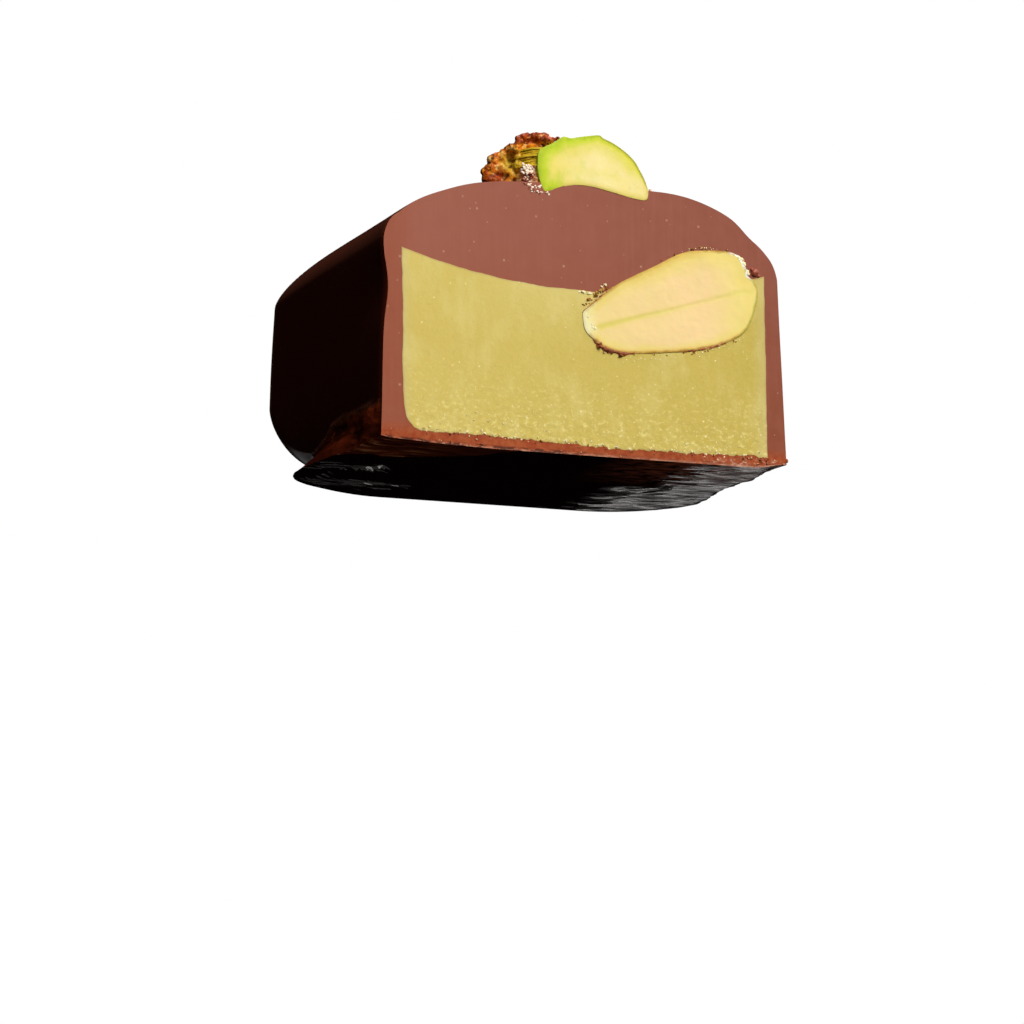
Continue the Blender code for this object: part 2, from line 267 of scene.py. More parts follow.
# The cut face is filled in between its four edges
inner = FRONT & ~TOP & ~BOTTOM & (np.abs(u) < 1 - 1e-6)
s, t = (u[inner] + 1) / 2, up[inner]
at_left, at_right = np.ones_like(s), np.zeros_like(s)
left_height, right_height = (rim_height(at_side) * t ** ROW_POWER for at_side in (at_left, at_right))
left_x, right_x = walls(at_left, left_height)[0], walls(at_right, right_height)[0]
side = np.where(u[inner] < 0, 1.0, 0.0)
top_x, _, top_z = dome(side, np.sin(np.abs(u[inner]) * math.pi / 2))
low_x = walls(side, np.zeros_like(s))[0] * np.abs(u[inner])
sides = np.array([1.0, 0.0])
(low_left, low_right), _ = walls(sides, np.zeros(2))
(high_left, high_right), _ = walls(sides, rim_height(sides))
rim_left, rim_right = rim_height(sides)
form[inner, 0] = (1 - s) * left_x + s * right_x + (1 - t) * low_x + t * top_x - (
    (1 - s) * (1 - t) * low_left + (1 - s) * t * high_left + s * (1 - t) * low_right + s * t * high_right
)
form[inner, 2] = (1 - s) * left_height + s * right_height + t * (top_z - (1 - s) * rim_left - s * rim_right)
form[inner, 1] = 0.0
x, y, z = form.T

# Broken places: the spread skirt on the left, and the shallow break under the front left corner
below_lip = table(y, SKIRT_HEIGHT) + lumps(form, 1.7, 3.1) * 0.22 - z
on_skirt = smooth_step(below_lip / 0.4) * (x < SKIRT_END_X) * (y < SKIRT_END_Y) * ~FRONT
break_reach = table(x, BREAK_REACH) + lumps(form, 1.3, 5.2) * 0.35
in_break = smooth_step((break_reach - y) / 0.35) * (z < 0.5) * (x < BREAK_END_X)
share = np.clip(1 - y / np.maximum(break_reach, 0.01), 0, 1)
stair = BREAK_STEPS * share + 2.2 * share * (1 - share) * lumps(form, (3, 1.2, 1), 8.4, 3)
stair = (np.floor(stair) + smooth_step((stair % 1 - 0.86) / 0.14)) / BREAK_STEPS
right_lift = 0.32 * smooth_step((x - 10.5) / 3) ** 2 * np.exp(-y / 1.2)
lift = (table(x, BREAK_RISE) * stair * (x < BREAK_END_X) + right_lift) * (1 - z / BASE_EDGE)
above_base = z.copy()
z = z + np.where(z < BASE_EDGE, lift, 0)
fold = 0.42 + 0.16 * lumps(form, (2.5, 0.9, 0.5), 1.3, 3)
for hump_y, hump_z, reach_y, reach_z, amount in SKIRT_HUMPS:
    away = ((y - hump_y) / reach_y) ** 2 + ((above_base - hump_z) / reach_z) ** 2
    fold = fold + 0.55 * amount * np.exp(-away)
x = x - on_skirt * (fold - 0.5) * SKIRT_RELIEF * smooth_step(y / 0.8)
chipped = lumps(form, 1.1, 4.8, 3) * smooth_step((0.7 - z) / 0.5) * (x > 9) * ~FRONT
x = x + chipped * CHIPS * np.clip(x / WALL_FOOT_RIGHT, 0, 1)
streak = np.maximum(lumps(form, (2.6, 0.8, 1), 6.6, 4), 0) * UNDER_STREAKS * (ring < 0.985)
z = z + np.where(BOTTOM & ~FRONT, streak, 0)

# Hand-made unevenness: soft on the outside, with faint drag lines down the cut
soft = lumps(form, 5, 2.2, 1) * UNEVENNESS
move_points(coating, x, y, z)
out = normals_of(coating)
out[FRONT, 1] = 0
out[BOTTOM] = 0
form = np.stack([x, y, z], axis=1) + out * soft[:, None]
form[:, 1] = np.where(inner, -lumps(form, (0.5, 1, 7), 9.1) * DRAG_LINES, form[:, 1])
form[:, 2] = np.maximum(form[:, 2], 0)
move_points(coating, form)
mark(coating, "broken", np.maximum(on_skirt, in_break * ~FRONT))
mark(coating, "fold", fold)
mark(coating, "lip", bell(below_lip / 0.22 - 1.1) * on_skirt)
mark(coating, "above_base", above_base)
mark(coating, "break_depth", share * in_break * BOTTOM)


def new_finish(name):
    """Starts a finish. The functions below add to the finish that was started last."""
    global tree, shader
    finish = bpy.data.materials.new(name)
    finish.use_nodes = True
    tree, shader = finish.node_tree, finish.node_tree.nodes["Principled BSDF"]
    return finish


def give(socket, value):
    """Sets a socket to a value, or links it."""
    if isinstance(value, bpy.types.NodeSocket):
        tree.links.new(value, socket)
    else:
        socket.default_value = value


def add(kind, values=None, **settings):
    """Shader node with its settings, whose sockets get a value or a link."""
    made = tree.nodes.new("ShaderNode" + kind)
    for name, setting in settings.items():
        setattr(made, name, setting)
    for socket, value in (values or {}).items():
        give(made.inputs[socket], value)
    return made


def spots(size, shift=(0, 0, 0)):
    """Object coordinates, counted in grains of a size."""
    size = size if isinstance(size, tuple) else (size, size, size)
    scale = tuple(1 / (length * MM) for length in size)
    values = {"Vector": add("TexCoord").outputs["Object"], "Scale": scale, "Location": shift}
    return add("Mapping", values).outputs["Vector"]


def mottle(size, detail=2.0, shift=(0, 0, 0)):
    """Soft cloudy pattern, 0 to 1."""
    values = {"Vector": spots(size, shift), "Scale": 1.0, "Detail": detail, "Roughness": 0.6}
    return add("TexNoise", values).outputs["Fac"]


def kept(name):
    """Value that the piece keeps for each point."""
    return add("Attribute", attribute_name=name).outputs["Fac"]


def between(value, low, high, to_low=0.0, to_high=1.0):
    """Value taken from one range to another, and kept inside it."""
    values = {"Value": value, "From Min": low, "From Max": high, "To Min": to_low, "To Max": to_high}
    return add("MapRange", values).outputs["Result"]


def patches(size, low, high, detail=3.0, shift=(0, 0, 0), most=1.0):
    """Patches of a mottle: nothing up to low, and the most from high on."""
    return between(mottle(size, detail, shift), low, high, 0.0, most)


def place(axis):
    return add("SeparateXYZ", {0: add("TexCoord").outputs["Object"]}).outputs[axis]


def at(axis, low, high, to_low=0.0, to_high=1.0):
    """Share that grows from one place to another along X, Y (from the cut) or Z."""
    start = CUT_Y if axis == "Y" else 0
    return between(place(axis), (start + low) * MM, (start + high) * MM, to_low, to_high)


def figure(operation, value, *others):
    for other in others:
        value = add("Math", {0: value, 1: other}, operation=operation).outputs[0]
    return value


def times(*values):
    return figure("MULTIPLY", *values)


def plus(*values):
    return figure("ADD", *values)


def most_of(*values):
    return figure("MAXIMUM", *values)


def blend(share, a, b):
    """Colour a, going over into colour b."""
    made = add("Mix", {"Factor": share}, data_type="RGBA")
    for socket, colour in ((made.inputs[6], a), (made.inputs[7], b)):
        give(socket, (*colour, 1) if isinstance(colour, tuple) else colour)
    return made.outputs[2]


def layers(colour, *coats):
    """Colour with more colours laid over it, each with its share first."""
    for share, coat in coats:
        colour = blend(share, colour, coat)
    return colour


def specks(spacing, size, share, shift=(0, 0, 0)):
    """Small dots, a few to each spacing, on a share of the places; 1 in a dot."""
    cells = add("TexVoronoi", {"Vector": spots(spacing, shift), "Scale": 1.0})
    pick = add("SeparateColor", {"Color": cells.outputs["Color"]})
    return times(
        between(cells.outputs["Distance"], size / spacing, size / spacing * 0.6),
        between(pick.outputs[0], share, share - 0.02),
        between(pick.outputs[1], 0, 1, 0.35, 1.0),
    )


def surface(colour, roughness, reflects=0.5, ior=1.5, glow=None, bump=None):
    """Sets the shader. Glow is the share of light that goes under the surface and how far it gets
    there in red, green and blue; bump is a pattern and its depth."""
    give(shader.inputs["Base Color"], colour)
    give(shader.inputs["Roughness"], roughness)
    shader.inputs["Specular IOR Level"].default_value = reflects
    shader.inputs["IOR"].default_value = ior
    if glow:
        shader.inputs["Subsurface Weight"].default_value = glow[0]
        shader.inputs["Subsurface Radius"].default_value = [length * MM for length in glow[1]]
        shader.inputs["Subsurface Scale"].default_value = 1.0
    if bump:
        made = add("Bump", {"Height": bump[0], "Distance": bump[1] * MM, "Strength": 1.0})
        give(shader.inputs["Normal"], made.outputs["Normal"])


shiny_chocolate = new_finish("shiny chocolate")
moulded = layers(
    blend(mottle(2.5), (0.08, 0.011, 0.005), (0.096, 0.016, 0.007)),
    (specks(2.4, 0.06, 0.3), (0.36, 0.22, 0.16)),
    (at("Y", 0.8, 0), (0.36, 0.052, 0.018)),                                # light through the thin edge
    (kept("broken"), (0.045, 0.012, 0.005)),
)
surface(moulded, 0.15, ior=1.45)

torn_chocolate = new_finish("torn chocolate")
# Painted light and shade: the raised folds get a lit colour and the sunken folds a shaded one, both lighter towards
# the cut
painted_light_by_cut = at("Y", 8, 1.5)
raised = blend(painted_light_by_cut, (0.27, 0.032, 0.009), (0.4, 0.058, 0.015))
painted_shade_sunken = blend(painted_light_by_cut, (0.016, 0.003, 0.001), (0.085, 0.013, 0.004))
streaked = mottle((3.0, 0.55, 0.5), 4.0, (2, 0, 0))
# Painted highlights: pale tan streaks on the left part of the break
painted_tan_highlights = times(between(streaked, 0.53, 0.6), at("X", -8.5, -10))
bands = layers(                                                             # in the break
    blend(between(streaked, 0.38, 0.56), (0.038, 0.006, 0.002), (0.2, 0.04, 0.015)),
    (times(painted_tan_highlights, 0.6), (0.58, 0.26, 0.11)),
    (times(at("X", -11, -7), 0.7), (0.045, 0.008, 0.003)),
)
torn = layers(
    # painted light and shade on the folds
    blend(between(kept("fold"), 0.18, 0.85), painted_shade_sunken, raised),
    (patches((2.5, 2.5, 0.3), 0.5, 0.66, 4, most=0.6), (0.03, 0.005, 0.002)),
    (patches((0.9, 0.9, 0.35), 0.54, 0.66, 4, (6, 1, 3), 0.7), (0.27, 0.042, 0.016)),
    (times(kept("lip"), 0.7), (0.12, 0.05, 0.018)),
    # painted shade: darker towards the base
    (between(kept("above_base"), 1.0, 0.35, 0, 0.75), (0.06, 0.009, 0.003)),
    (between(kept("break_depth"), 0.0, 0.03), bands),
)
surface(torn, 0.8, 0.0, bump=(mottle((0.7, 0.7, 0.2), 3), 0.04))

undersides = []
for name, shine in (("dull underside", 0.0), ("faint underside", 0.001), ("smooth underside", 0.5)):
    undersides.append(new_finish(name))
    body = blend(mottle((1.4, 0.5, 1), 3), (0.004, 0.001, 0.001), (0.012, 0.003, 0.002))
    rusty = times(at("X", 2, 6), at("Y", 8, 3), patches((1.2, 0.5, 1), 0.4, 0.6, 3, (4, 4, 0)))
    smeared = between(mottle((3.2, 1, 1), 4, (1, 2, 0)), 0.34, 0.56, 0.25, 1.0)
    threads = between(mottle((2.2, 0.3, 1), 5, (8, 3, 0)), 0.36, 0.54, 0.2, 1.0)
    dull = between(times(smeared, threads), 0, 1, 0.75, 0.15)
    relief = plus(mottle((1.9, 0.7, 1), 5), times(mottle((1.3, 0.22, 1), 6), 0.6))
    surface(blend(rusty, body, (0.26, 0.07, 0.038)), dull, shine, bump=(relief, 0.15))

cut_chocolate = new_finish("cut chocolate")
foot = blend(patches(0.4, 0.35, 0.65), (0.31, 0.046, 0.01), (0.4, 0.09, 0.024))
# Painted highlight: a pale line, in patches, along the cut's bottom edge
painted_bottom_edge_highlight = times(between(kept("above_base"), 0.16, 0.04), patches((0.5, 1, 0.2), 0.35, 0.6, 3, (3, 0, 1)))
scuffs = patches((0.38, 1, 0.17), 0.51, 0.6, 5, (7, 0, 3))
scuffs = times(scuffs, between(kept("above_base"), 0.55, 0.35), at("X", 7, 10))
crushed = patches((0.45, 1, 0.16), 0.46, 0.52, 4, (1, 0, 6))
crushed = times(crushed, between(kept("above_base"), 0.26, 0.14), at("X", 2, -2, 0.35, 1.0))
pale = most_of(specks(1.0, 0.1, 0.42), specks(0.6, 0.06, 0.42, (3, 1, 2)))
sliced = layers(
    # painted sheen: paler towards the top
    blend(at("Z", 1.5, 13), (0.315, 0.078, 0.03), (0.338, 0.105, 0.064)),
    # painted shade: darker towards the right
    (times(at("X", -13, 13), 0.52), (0.19, 0.045, 0.022)),
    (times(at("X", -10.5, -12.2), 0.8), (0.305, 0.074, 0.032)),
    (patches(1.3, 0.3, 0.8, 4, most=0.3), (0.37, 0.125, 0.08)),
    (patches((0.3, 1, 6), 0.45, 0.85, 2, most=0.16), (0.4, 0.15, 0.1)),   # drag lines of the knife
    (at("Z", 1.3, 0.6), foot),
    (times(painted_bottom_edge_highlight, 0.8), (0.6, 0.3, 0.19)),
    (times(scuffs, 0.75), (0.66, 0.36, 0.24)),
    (times(crushed, 0.85), (0.05, 0.009, 0.003)),
    (times(pale, 0.65), (0.64, 0.36, 0.26)),
)
surface(sliced, 0.55, 0.12, bump=(mottle((0.25, 1, 2), 3), 0.006))

for finish in (shiny_chocolate, cut_chocolate, torn_chocolate, *undersides):
    coating.data.materials.append(finish)
CUT, TORN, UNDER = 1, 2, 3
is_torn = np.maximum(on_skirt, in_break * ~FRONT) > 0.5
x, y, _ = form.T
right_side = np.maximum((x - 8.0) / 1.8, np.minimum((x - 6.2) / 2.4, (y - 8.6) / 2.4))
left_band = np.minimum(0.62 - np.hypot((x + 12.2) / 3.0, (y - 8.2) / 1.2), 0.1)
far_left_band = np.minimum(0.66 - np.hypot((x + 10.2) / 3.8, (y - 12.8) / 1.9), 0.15)
smooth = np.maximum(right_side, np.maximum(left_band, far_left_band)) + 1.4 * lumps(form, (1.7, 0.34, 1), 2.9, 4)
for face in coating.data.polygons:
    corners = list(face.vertices)
    if FRONT[corners].all():
        face.material_index = CUT
    elif BOTTOM[corners].all():
        shine = int(np.digitize(smooth[corners].mean(), (0, 0.55)))
        face.material_index = TORN if in_break[corners].min() > 0.3 else UNDER + shine
    elif is_torn[corners].all():
        face.material_index = TORN

# The space that the filling takes up, which the paste stands proud of by a little
PASTE_LEFT, PASTE_RIGHT, PASTE_LOW, PASTE_DEPTH = 11.95, 12.22, 0.72, 12.5
PASTE_PROUD, PASTE_PROUD_TOP, PASTE_PROUD_LOW = 0.15, 0.12, 0.2


def paste_climb(x):
    """Height of the paste's top, which climbed the walls."""
    return 10.25 + 1.8 * (x / 12) ** 2


space, cube = block("space_for_paste", 15)
x = np.where(cube[:, 0] < 0, PASTE_LEFT - PASTE_PROUD, PASTE_RIGHT - PASTE_PROUD) * cube[:, 0]
low = PASTE_LOW + PASTE_PROUD_LOW + 1.2 * np.clip(-x / PASTE_LEFT, 0, 1) ** 8
z = low + (paste_climb(x) - PASTE_PROUD_TOP - low) * (cube[:, 2] + 1) / 2
move_points(space, x, -2 + (PASTE_DEPTH + 2) * (cube[:, 1] + 1) / 2, z)
deselect_all()
coating.select_set(True)
bpy.context.view_layer.objects.active = coating
hollow = coating.modifiers.new("hollow", "BOOLEAN")
hollow.operation = "DIFFERENCE"
hollow.solver = "EXACT"
hollow.object = space
bpy.ops.object.modifier_apply(modifier="hollow")
smooth_shading(40)
bpy.data.objects.remove(space)
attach(coating, "root")
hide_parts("coating")

# Pistachio paste. A firm ground filling, poured to just under the dome so that it climbed the
# walls; cut with the coating, it shows a fine grain that gets coarser and paler at the base.
PASTE_FOOT = ((-11.1, 0.84), (-3.8, 0.72), (3.65, 0.55), (12.2, 0.72))
PASTE_SIDE = (
    (0.7, -10.7), (0.82, -11.06), (1.15, -11.51), (1.6, -11.76), (2.32, -11.92), (4.9, -12.0), (8.4, -11.93),
    (12.1, -12.0),
)
GRAIN, PASTE_STANDS_OUT, BED_DEPTH = 0.03, 0.012, 0.6
KERNEL_CENTRE = np.array((6.0, 9.9))
KERNEL_EDGE = (
    (11.67, 10.39), (11.76, 11.15), (11.52, 11.72), (11.12, 12.06), (10.98, 12.55), (10.45, 13.28), (9.55, 13.5),
    (8.12, 13.42), (7.14, 13.28), (6.19, 12.94), (4.76, 12.16), (3.33, 11.43), (2.38, 10.91), (1.43, 10.23),
    (0.48, 9.42), (-0.02, 9.0), (-0.09, 8.61), (0.08, 7.75), (0.73, 7.19), (1.47, 6.74), (2.78, 6.55),
    (4.66, 6.7), (6.55, 6.93), (7.97, 7.2), (9.43, 7.66), (10.69, 8.37), (11.28, 9.22),
)


def smooth_loop(corners, steps=12):
    """Closed smooth curve through corners."""
    corners = np.array(corners)
    before, after, beyond = (np.roll(corners, shift, axis=0) for shift in (1, -1, -2))
    curve = []
    for share in np.arange(steps) / steps:
        curve.append(
            0.5 * (2 * corners + (after - before) * share
            + (2 * before - 5 * corners + 4 * after - beyond) * share ** 2
            + (3 * corners - before - 3 * after + beyond) * share ** 3)
        )
    return np.stack(curve, axis=1).reshape(-1, 2)


def radius_round(loop, centre, angle):
    """Distance from a centre to a closed curve, at an angle."""
    away = loop - centre
    turns = np.arctan2(away[:, 1], away[:, 0])
    order = np.argsort(turns)
    return np.interp(angle, turns[order], np.hypot(*away.T)[order], period=2 * math.pi)


def on_cut(x, z):
    """Points on the plane of the cut."""
    return np.stack([x, x * 0, x * 0 + z], axis=1)


def paste_low(x):
    return table(x, PASTE_FOOT) + 0.1 * lumps(on_cut(x, 0), 0.7, 4.4, 4) + 0.09 * lumps(on_cut(x, 0), 0.25, 1.4, 3)


def paste_top(x):
    return paste_climb(x) + 0.04 * lumps(on_cut(x, 0), 1.2, 7.4, 3)


def give_depth(depth):
    """Makes the sheet that is being worked on a solid that reaches back from the cut."""
    bpy.ops.object.mode_set(mode="EDIT")
    bpy.ops.mesh.select_all(action="SELECT")
    bpy.ops.mesh.remove_doubles(threshold=0.001 * MM)
    bpy.ops.mesh.extrude_region_move(TRANSFORM_OT_translate={"value": (0, depth * MM, 0)})
    bpy.ops.mesh.select_all(action="SELECT")
    bpy.ops.mesh.normals_make_consistent(inside=False)
    bpy.ops.object.mode_set(mode="OBJECT")
    smooth_shading(50)


deselect_all()
bpy.ops.mesh.primitive_grid_add(x_subdivisions=220, y_subdivisions=110, size=2, rotation=(math.pi / 2, 0, 0))
bpy.ops.object.transform_apply()
filling = name_piece("pistachio_filling")
grid = shape_of(filling)
s, t = (grid[:, 0] + 1) / 2, (grid[:, 2] + 1) / 2
rough_x = -PASTE_LEFT + (PASTE_LEFT + PASTE_RIGHT) * s
rough_z = paste_low(rough_x) + (paste_top(rough_x) - paste_low(rough_x)) * t
x = table(rough_z, PASTE_SIDE) * (1 - s) + PASTE_RIGHT * s + 0.03 * lumps(on_cut(s * 0, rough_z), 0.9, 2.7, 3)
z = paste_low(x) + (paste_top(x) - paste_low(x)) * t
face = on_cut(x, z)
coarse = 0.15 + 0.85 * smooth_step((4.0 - z) / 3.5)
grain = np.maximum(lumps(face, 0.35, 1.0, 4) * GRAIN * coarse, -0.004)
to_edge = np.minimum(np.minimum(s, 1 - s) * 24, np.minimum(t, 1 - t) * 10)
kernel_loop = smooth_loop(KERNEL_EDGE)
away = face[:, (0, 2)] - KERNEL_CENTRE
kernel_reach = radius_round(kernel_loop, KERNEL_CENTRE, np.arctan2(away[:, 1], away[:, 0]))
bed = np.where(np.hypot(*away.T) < 0.97 * kernel_reach, BED_DEPTH, 0)
move_points(filling, x, bed - PASTE_STANDS_OUT - grain * smooth_step(to_edge / 0.2), z)
mark(filling, "to_edge", to_edge)
give_depth(PASTE_DEPTH)

paste = new_finish("pistachio paste")
low_down = at("Z", 6, 0.8)
at_wall = most_of(at("X", -10.9, -11.6), at("X", 11.6, 12.5))
lighter = times(at("X", -9, -3), at("X", 8, 3), at("Z", 6.5, 10.5))
streaks = times(patches((0.42, 0.42, 0.28), 0.54, 0.66, 5, (2, 7, 1)), low_down)
pale = most_of(specks(0.75, 0.075, 0.3), specks(0.5, 0.05, 0.25, (1, 5, 2)))
more = most_of(specks(0.6, 0.1, 0.3, (7, 3, 2)), specks(0.38, 0.07, 0.35, (2, 3, 8)))
flecks = patches((0.22, 0.22, 0.16), 0.61, 0.68, 4, (4, 4, 9))
pale = most_of(pale, times(most_of(more, flecks), low_down))
body = layers(
    # painted shade: darker towards the right
    blend(at("X", -12, 13), (0.675, 0.52, 0.12), (0.54, 0.404, 0.066)),
    (patches(5, 0.35, 0.7, 2, most=0.5), (0.62, 0.46, 0.09)),
    (times(at_wall, 0.5), (0.6, 0.5, 0.21)),
    (times(patches(0.22, 0.3, 0.7, 4), 0.2), (0.7, 0.58, 0.19)),
    (patches(0.35, 0.58, 0.78, 3, (5, 2, 1), 0.25), (0.42, 0.31, 0.05)),
    (between(kept("to_edge"), 0.12, 0.0, 0, 0.55), (0.42, 0.24, 0.09)),     # smeared with chocolate
    (times(streaks, 0.6), (0.86, 0.74, 0.28)),
    (times(lighter, 0.35), (0.78, 0.66, 0.24)),
    (times(patches((1.6, 1, 3.2), 0.48, 0.68, 4, (9, 1, 4)), 0.28), (0.8, 0.7, 0.28)),
    (times(pale, 0.8), (0.92, 0.82, 0.42)),
)
surface(body, 0.65, 0.2, glow=(0.12, (0.5, 0.4, 0.12)), bump=(mottle(0.18, 5), 0.012))
filling.data.materials.append(paste)
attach(filling, "root")
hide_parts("filling")

# Pistachio in the paste. One whole shelled kernel, sliced lengthwise with the praline: peach
# pink inside, yellow towards its skin, with a seam between its two halves.
SEAM = ((1.06, 8.08), (3.42, 8.82), (5.86, 9.51), (8.51, 10.34), (10.84, 11.05))


def distance_to(points, curve):
    """Distance in the cut's plane from points to the nearest point of a curve."""
    flat = points[:, (0, 2)]
    return np.min(np.hypot(flat[:, None, 0] - curve[None, :, 0], flat[:, None, 1] - curve[None, :, 1]), axis=1)


def sliced_body(name, loop, centre, back_centre, depth, proud, segments, rings):
    """Round body with a flat slice that stands proud of the cut. Gives the piece, its points and
    which of them are on the slice."""
    deselect_all()
    bpy.ops.mesh.primitive_uv_sphere_add(
        segments=segments, ring_count=rings, radius=1.0, rotation=(math.pi / 2, 0, 0)
    )
    bpy.ops.object.transform_apply()
    piece = name_piece(name)
    ball = shape_of(piece)
    angle = np.arctan2(ball[:, 2], ball[:, 0])
    out = np.hypot(ball[:, 0], ball[:, 2])
    front = ball[:, 1] < 1e-6
    share = np.where(front, np.arcsin(np.clip(out, 0, 1)) * 2 / math.pi, out)[:, None]
    edge = radius_round(loop, centre, angle)[:, None] * np.stack([np.cos(angle), np.sin(angle)], axis=1) + centre
    middle = np.where(front[:, None], centre, back_centre)
    x, z = (middle + (edge - middle) * share).T
    y = np.where(front, 0, ball[:, 1] * depth) - proud
    return piece, np.stack([x, y, z], axis=1), front


kernel, points, on_slice = sliced_body(
    "sliced_kernel", kernel_loop, KERNEL_CENTRE, KERNEL_CENTRE, depth=2.9, proud=0.06, segments=220, rings=120
)
inward = np.where(on_slice, distance_to(points, kernel_loop), 0)
seam_x = np.linspace(1.0, 11.2, 200)
from_seam = distance_to(points, np.stack([seam_x, table(seam_x, SEAM)], axis=1))
valley = bell(from_seam / 0.12) * 0.012
edge_round = 0.015 * (1 - smooth_step(inward / 0.12))
relief = lumps(points, 2.2, 5.5) * 0.03 + lumps(points, 0.5, 6.5, 3) * 0.006
points[:, 1] += np.where(on_slice, valley + edge_round - relief, 0)
points[:, 1] -= np.where(on_slice, 0, lumps(points, 0.8, 2.5, 3) * 0.05)
move_points(kernel, points)
smooth_shading(50)
mark(kernel, "inward", inward)
mark(kernel, "seam", bell(from_seam / 0.17))
mark(kernel, "skin", np.where(on_slice, 0, 1))


def wavering(value, size, amount, detail=3.0, shift=(0, 0, 0), low=0.2, high=0.8):
    """Value that is uneven by an amount up and down."""
    return plus(value, between(mottle(size, detail, shift), low, high, -amount, amount))


kernel_flesh = new_finish("sliced kernel")
upward = at("Z", 9, 12)
rim = figure("DIVIDE", wavering(kept("inward"), 1.4, 0.25), between(upward, 0, 1, 0.75, 1.5))
at_skin = wavering(kept("inward"), 0.5, 0.06)
peach = layers(
    blend(patches(2.2, 0.3, 0.7), (0.92, 0.69, 0.3), (0.93, 0.655, 0.325)),
    (at("X", 7, 1), (0.88, 0.68, 0.27)),
    (at("X", 8.6, 10.8), (0.88, 0.71, 0.235)),
)
yellow = blend(mottle(1.2), (0.84, 0.63, 0.16), (0.88, 0.72, 0.23))
ochre = blend(mottle(0.6), (0.5, 0.27, 0.03), (0.3, 0.13, 0.015))
ochre = blend(at("X", 10, 11), ochre, (0.4, 0.33, 0.04))
orange = times(between(kept("inward"), 0.34, 0.12), at("Z", 9, 8))
gold = times(between(at_skin, 0.55, 0.06), at("X", 9.5, 7.5), upward)
tip = between(wavering(place("X"), 0.9, 0.4 * MM, 3, (1, 1, 0), 0.3, 0.7), 1.2 * MM, 0.45 * MM, 0, 0.85)
chalky = between(wavering(at_skin, 0.26, 0.07, 3, (5, 0, 5), 0.4, 0.6), 0.17, 0.09)
flesh = layers(
    blend(between(rim, 0.2, 0.95), yellow, peach),
    (times(orange, 0.6), (0.88, 0.52, 0.12)),
    (between(at_skin, 0.19, 0.03), ochre),
    (times(gold, 0.75), (0.74, 0.48, 0.085)),
    (times(kept("seam"), at("X", 7, 1.5, 0.42, 0.95)), (0.72, 0.62, 0.105)),
    (tip, (0.92, 0.86, 0.48)),
    (times(at("X", 10.1, 10.5), at("Z", 11.7, 12.1), chalky), (0.95, 0.92, 0.8)),
    (times(specks(1.0, 0.06, 0.25), 0.8), (0.55, 0.3, 0.05)),
    (kept("skin"), (0.3, 0.14, 0.03)),
)
surface(flesh, 0.5, 0.12, glow=(0.2, (0.8, 0.5, 0.2)), bump=(mottle((0.5, 0.5, 0.25), 4), 0.008))
kernel.data.materials.append(kernel_flesh)
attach(kernel, "root")
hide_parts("kernel")

# Papery skin and chips round the sliced kernel. The knife dragged flakes of the brown skin and
# crumbs of white flesh out along the kernel's edge, where they stick to the paste.
SKIN_WIDTH = (                            # angle round the kernel, width
    (-180, 0.1), (-176, 0.14), (-172, 0.1), (-168, -0.06), (-157, -0.06), (-152, 0.12), (-147, 0.22), (-140, 0.22),
    (-133, 0.12), (-128, 0.03), (-100, 0.01), (-85, 0.02), (-78, 0.05), (-62, 0.08), (-42, 0.08), (-32, 0.04),
    (-25, -0.03), (-18, -0.06), (20, -0.06), (24, 0.03), (36, 0.02), (42, -0.06), (58, -0.06), (66, 0.02),
    (80, 0.01), (90, -0.06), (165, -0.06), (172, 0.1), (180, 0.1),
)
SKIN_OVERLAP = 0.09


def copy_of(first):
    """Copy of a piece, with a mesh of its own."""
    copy = first.copy()
    copy.data = first.data.copy()
    bpy.context.scene.collection.objects.link(copy)
    return copy


def make_one(pieces, name):
    deselect_all()
    for piece in pieces:
        piece.select_set(True)
    bpy.context.view_layer.objects.active = pieces[0]
    bpy.ops.object.join()
    return name_piece(name)


def round_lump(detail, radius):
    deselect_all()
    bpy.ops.mesh.primitive_ico_sphere_add(subdivisions=detail, radius=radius)
    return bpy.context.active_object


def scatter(name, finish, places, seed, bend=0.3, detail=2, depth=1.0):
    """One crumb is modelled and copied to places (x, behind, z, size, flatness); the copies are one
    piece."""
    turns = random.Random(seed)
    noise.seed_set(seed)                  # noise_vector would otherwise start from the clock
    first = round_lump(detail, 0.5)
    copies = []
    for number, (x, behind, z, size, flat) in enumerate(places):
        copy = copy_of(first)
        turned = Matrix.Rotation(turns.uniform(0, 6.28), 4, Vector([turns.uniform(-1, 1) for _ in range(3)]))
        for point in copy.data.vertices:
            co = point.co + noise.noise_vector(point.co * 2.2 + Vector((number * 3.7, seed, 0))) * bend
            co.z *= flat
            co = turned @ co * size
            co.y *= depth
            point.co = (co + Vector((MIDDLE_X + x, CUT_Y + behind, z))) * MM
        copies.append(copy)
    bpy.data.objects.remove(first)
    piece = make_one(copies, name)
    piece.data.materials.append(finish)
    smooth_shading(60)
    return piece


def along(path, count, size, spread, behind, flat=(0.3, 0.7)):
    """Places for crumbs strewn along a path of (x, z) corners."""
    path = np.array(path)
    steps = np.concatenate([[0], np.cumsum(np.hypot(*np.diff(path, axis=0).T))])
    rows = []
    for _ in range(count):
        step = draw.uniform(0, steps[-1])
        x = np.interp(step, steps, path[:, 0]) + draw.gauss(0, spread)
        z = np.interp(step, steps, path[:, 1]) + draw.gauss(0, spread)
        rows.append((x, behind + draw.uniform(-0.05, 0.05), z, draw.uniform(*size), draw.uniform(*flat)))
    return rows


def strewn(*paths):
    """Places along several paths: corners, how many, sizes, spread, behind the cut, flatness."""
    return [crumb for path in paths for crumb in along(*path)]


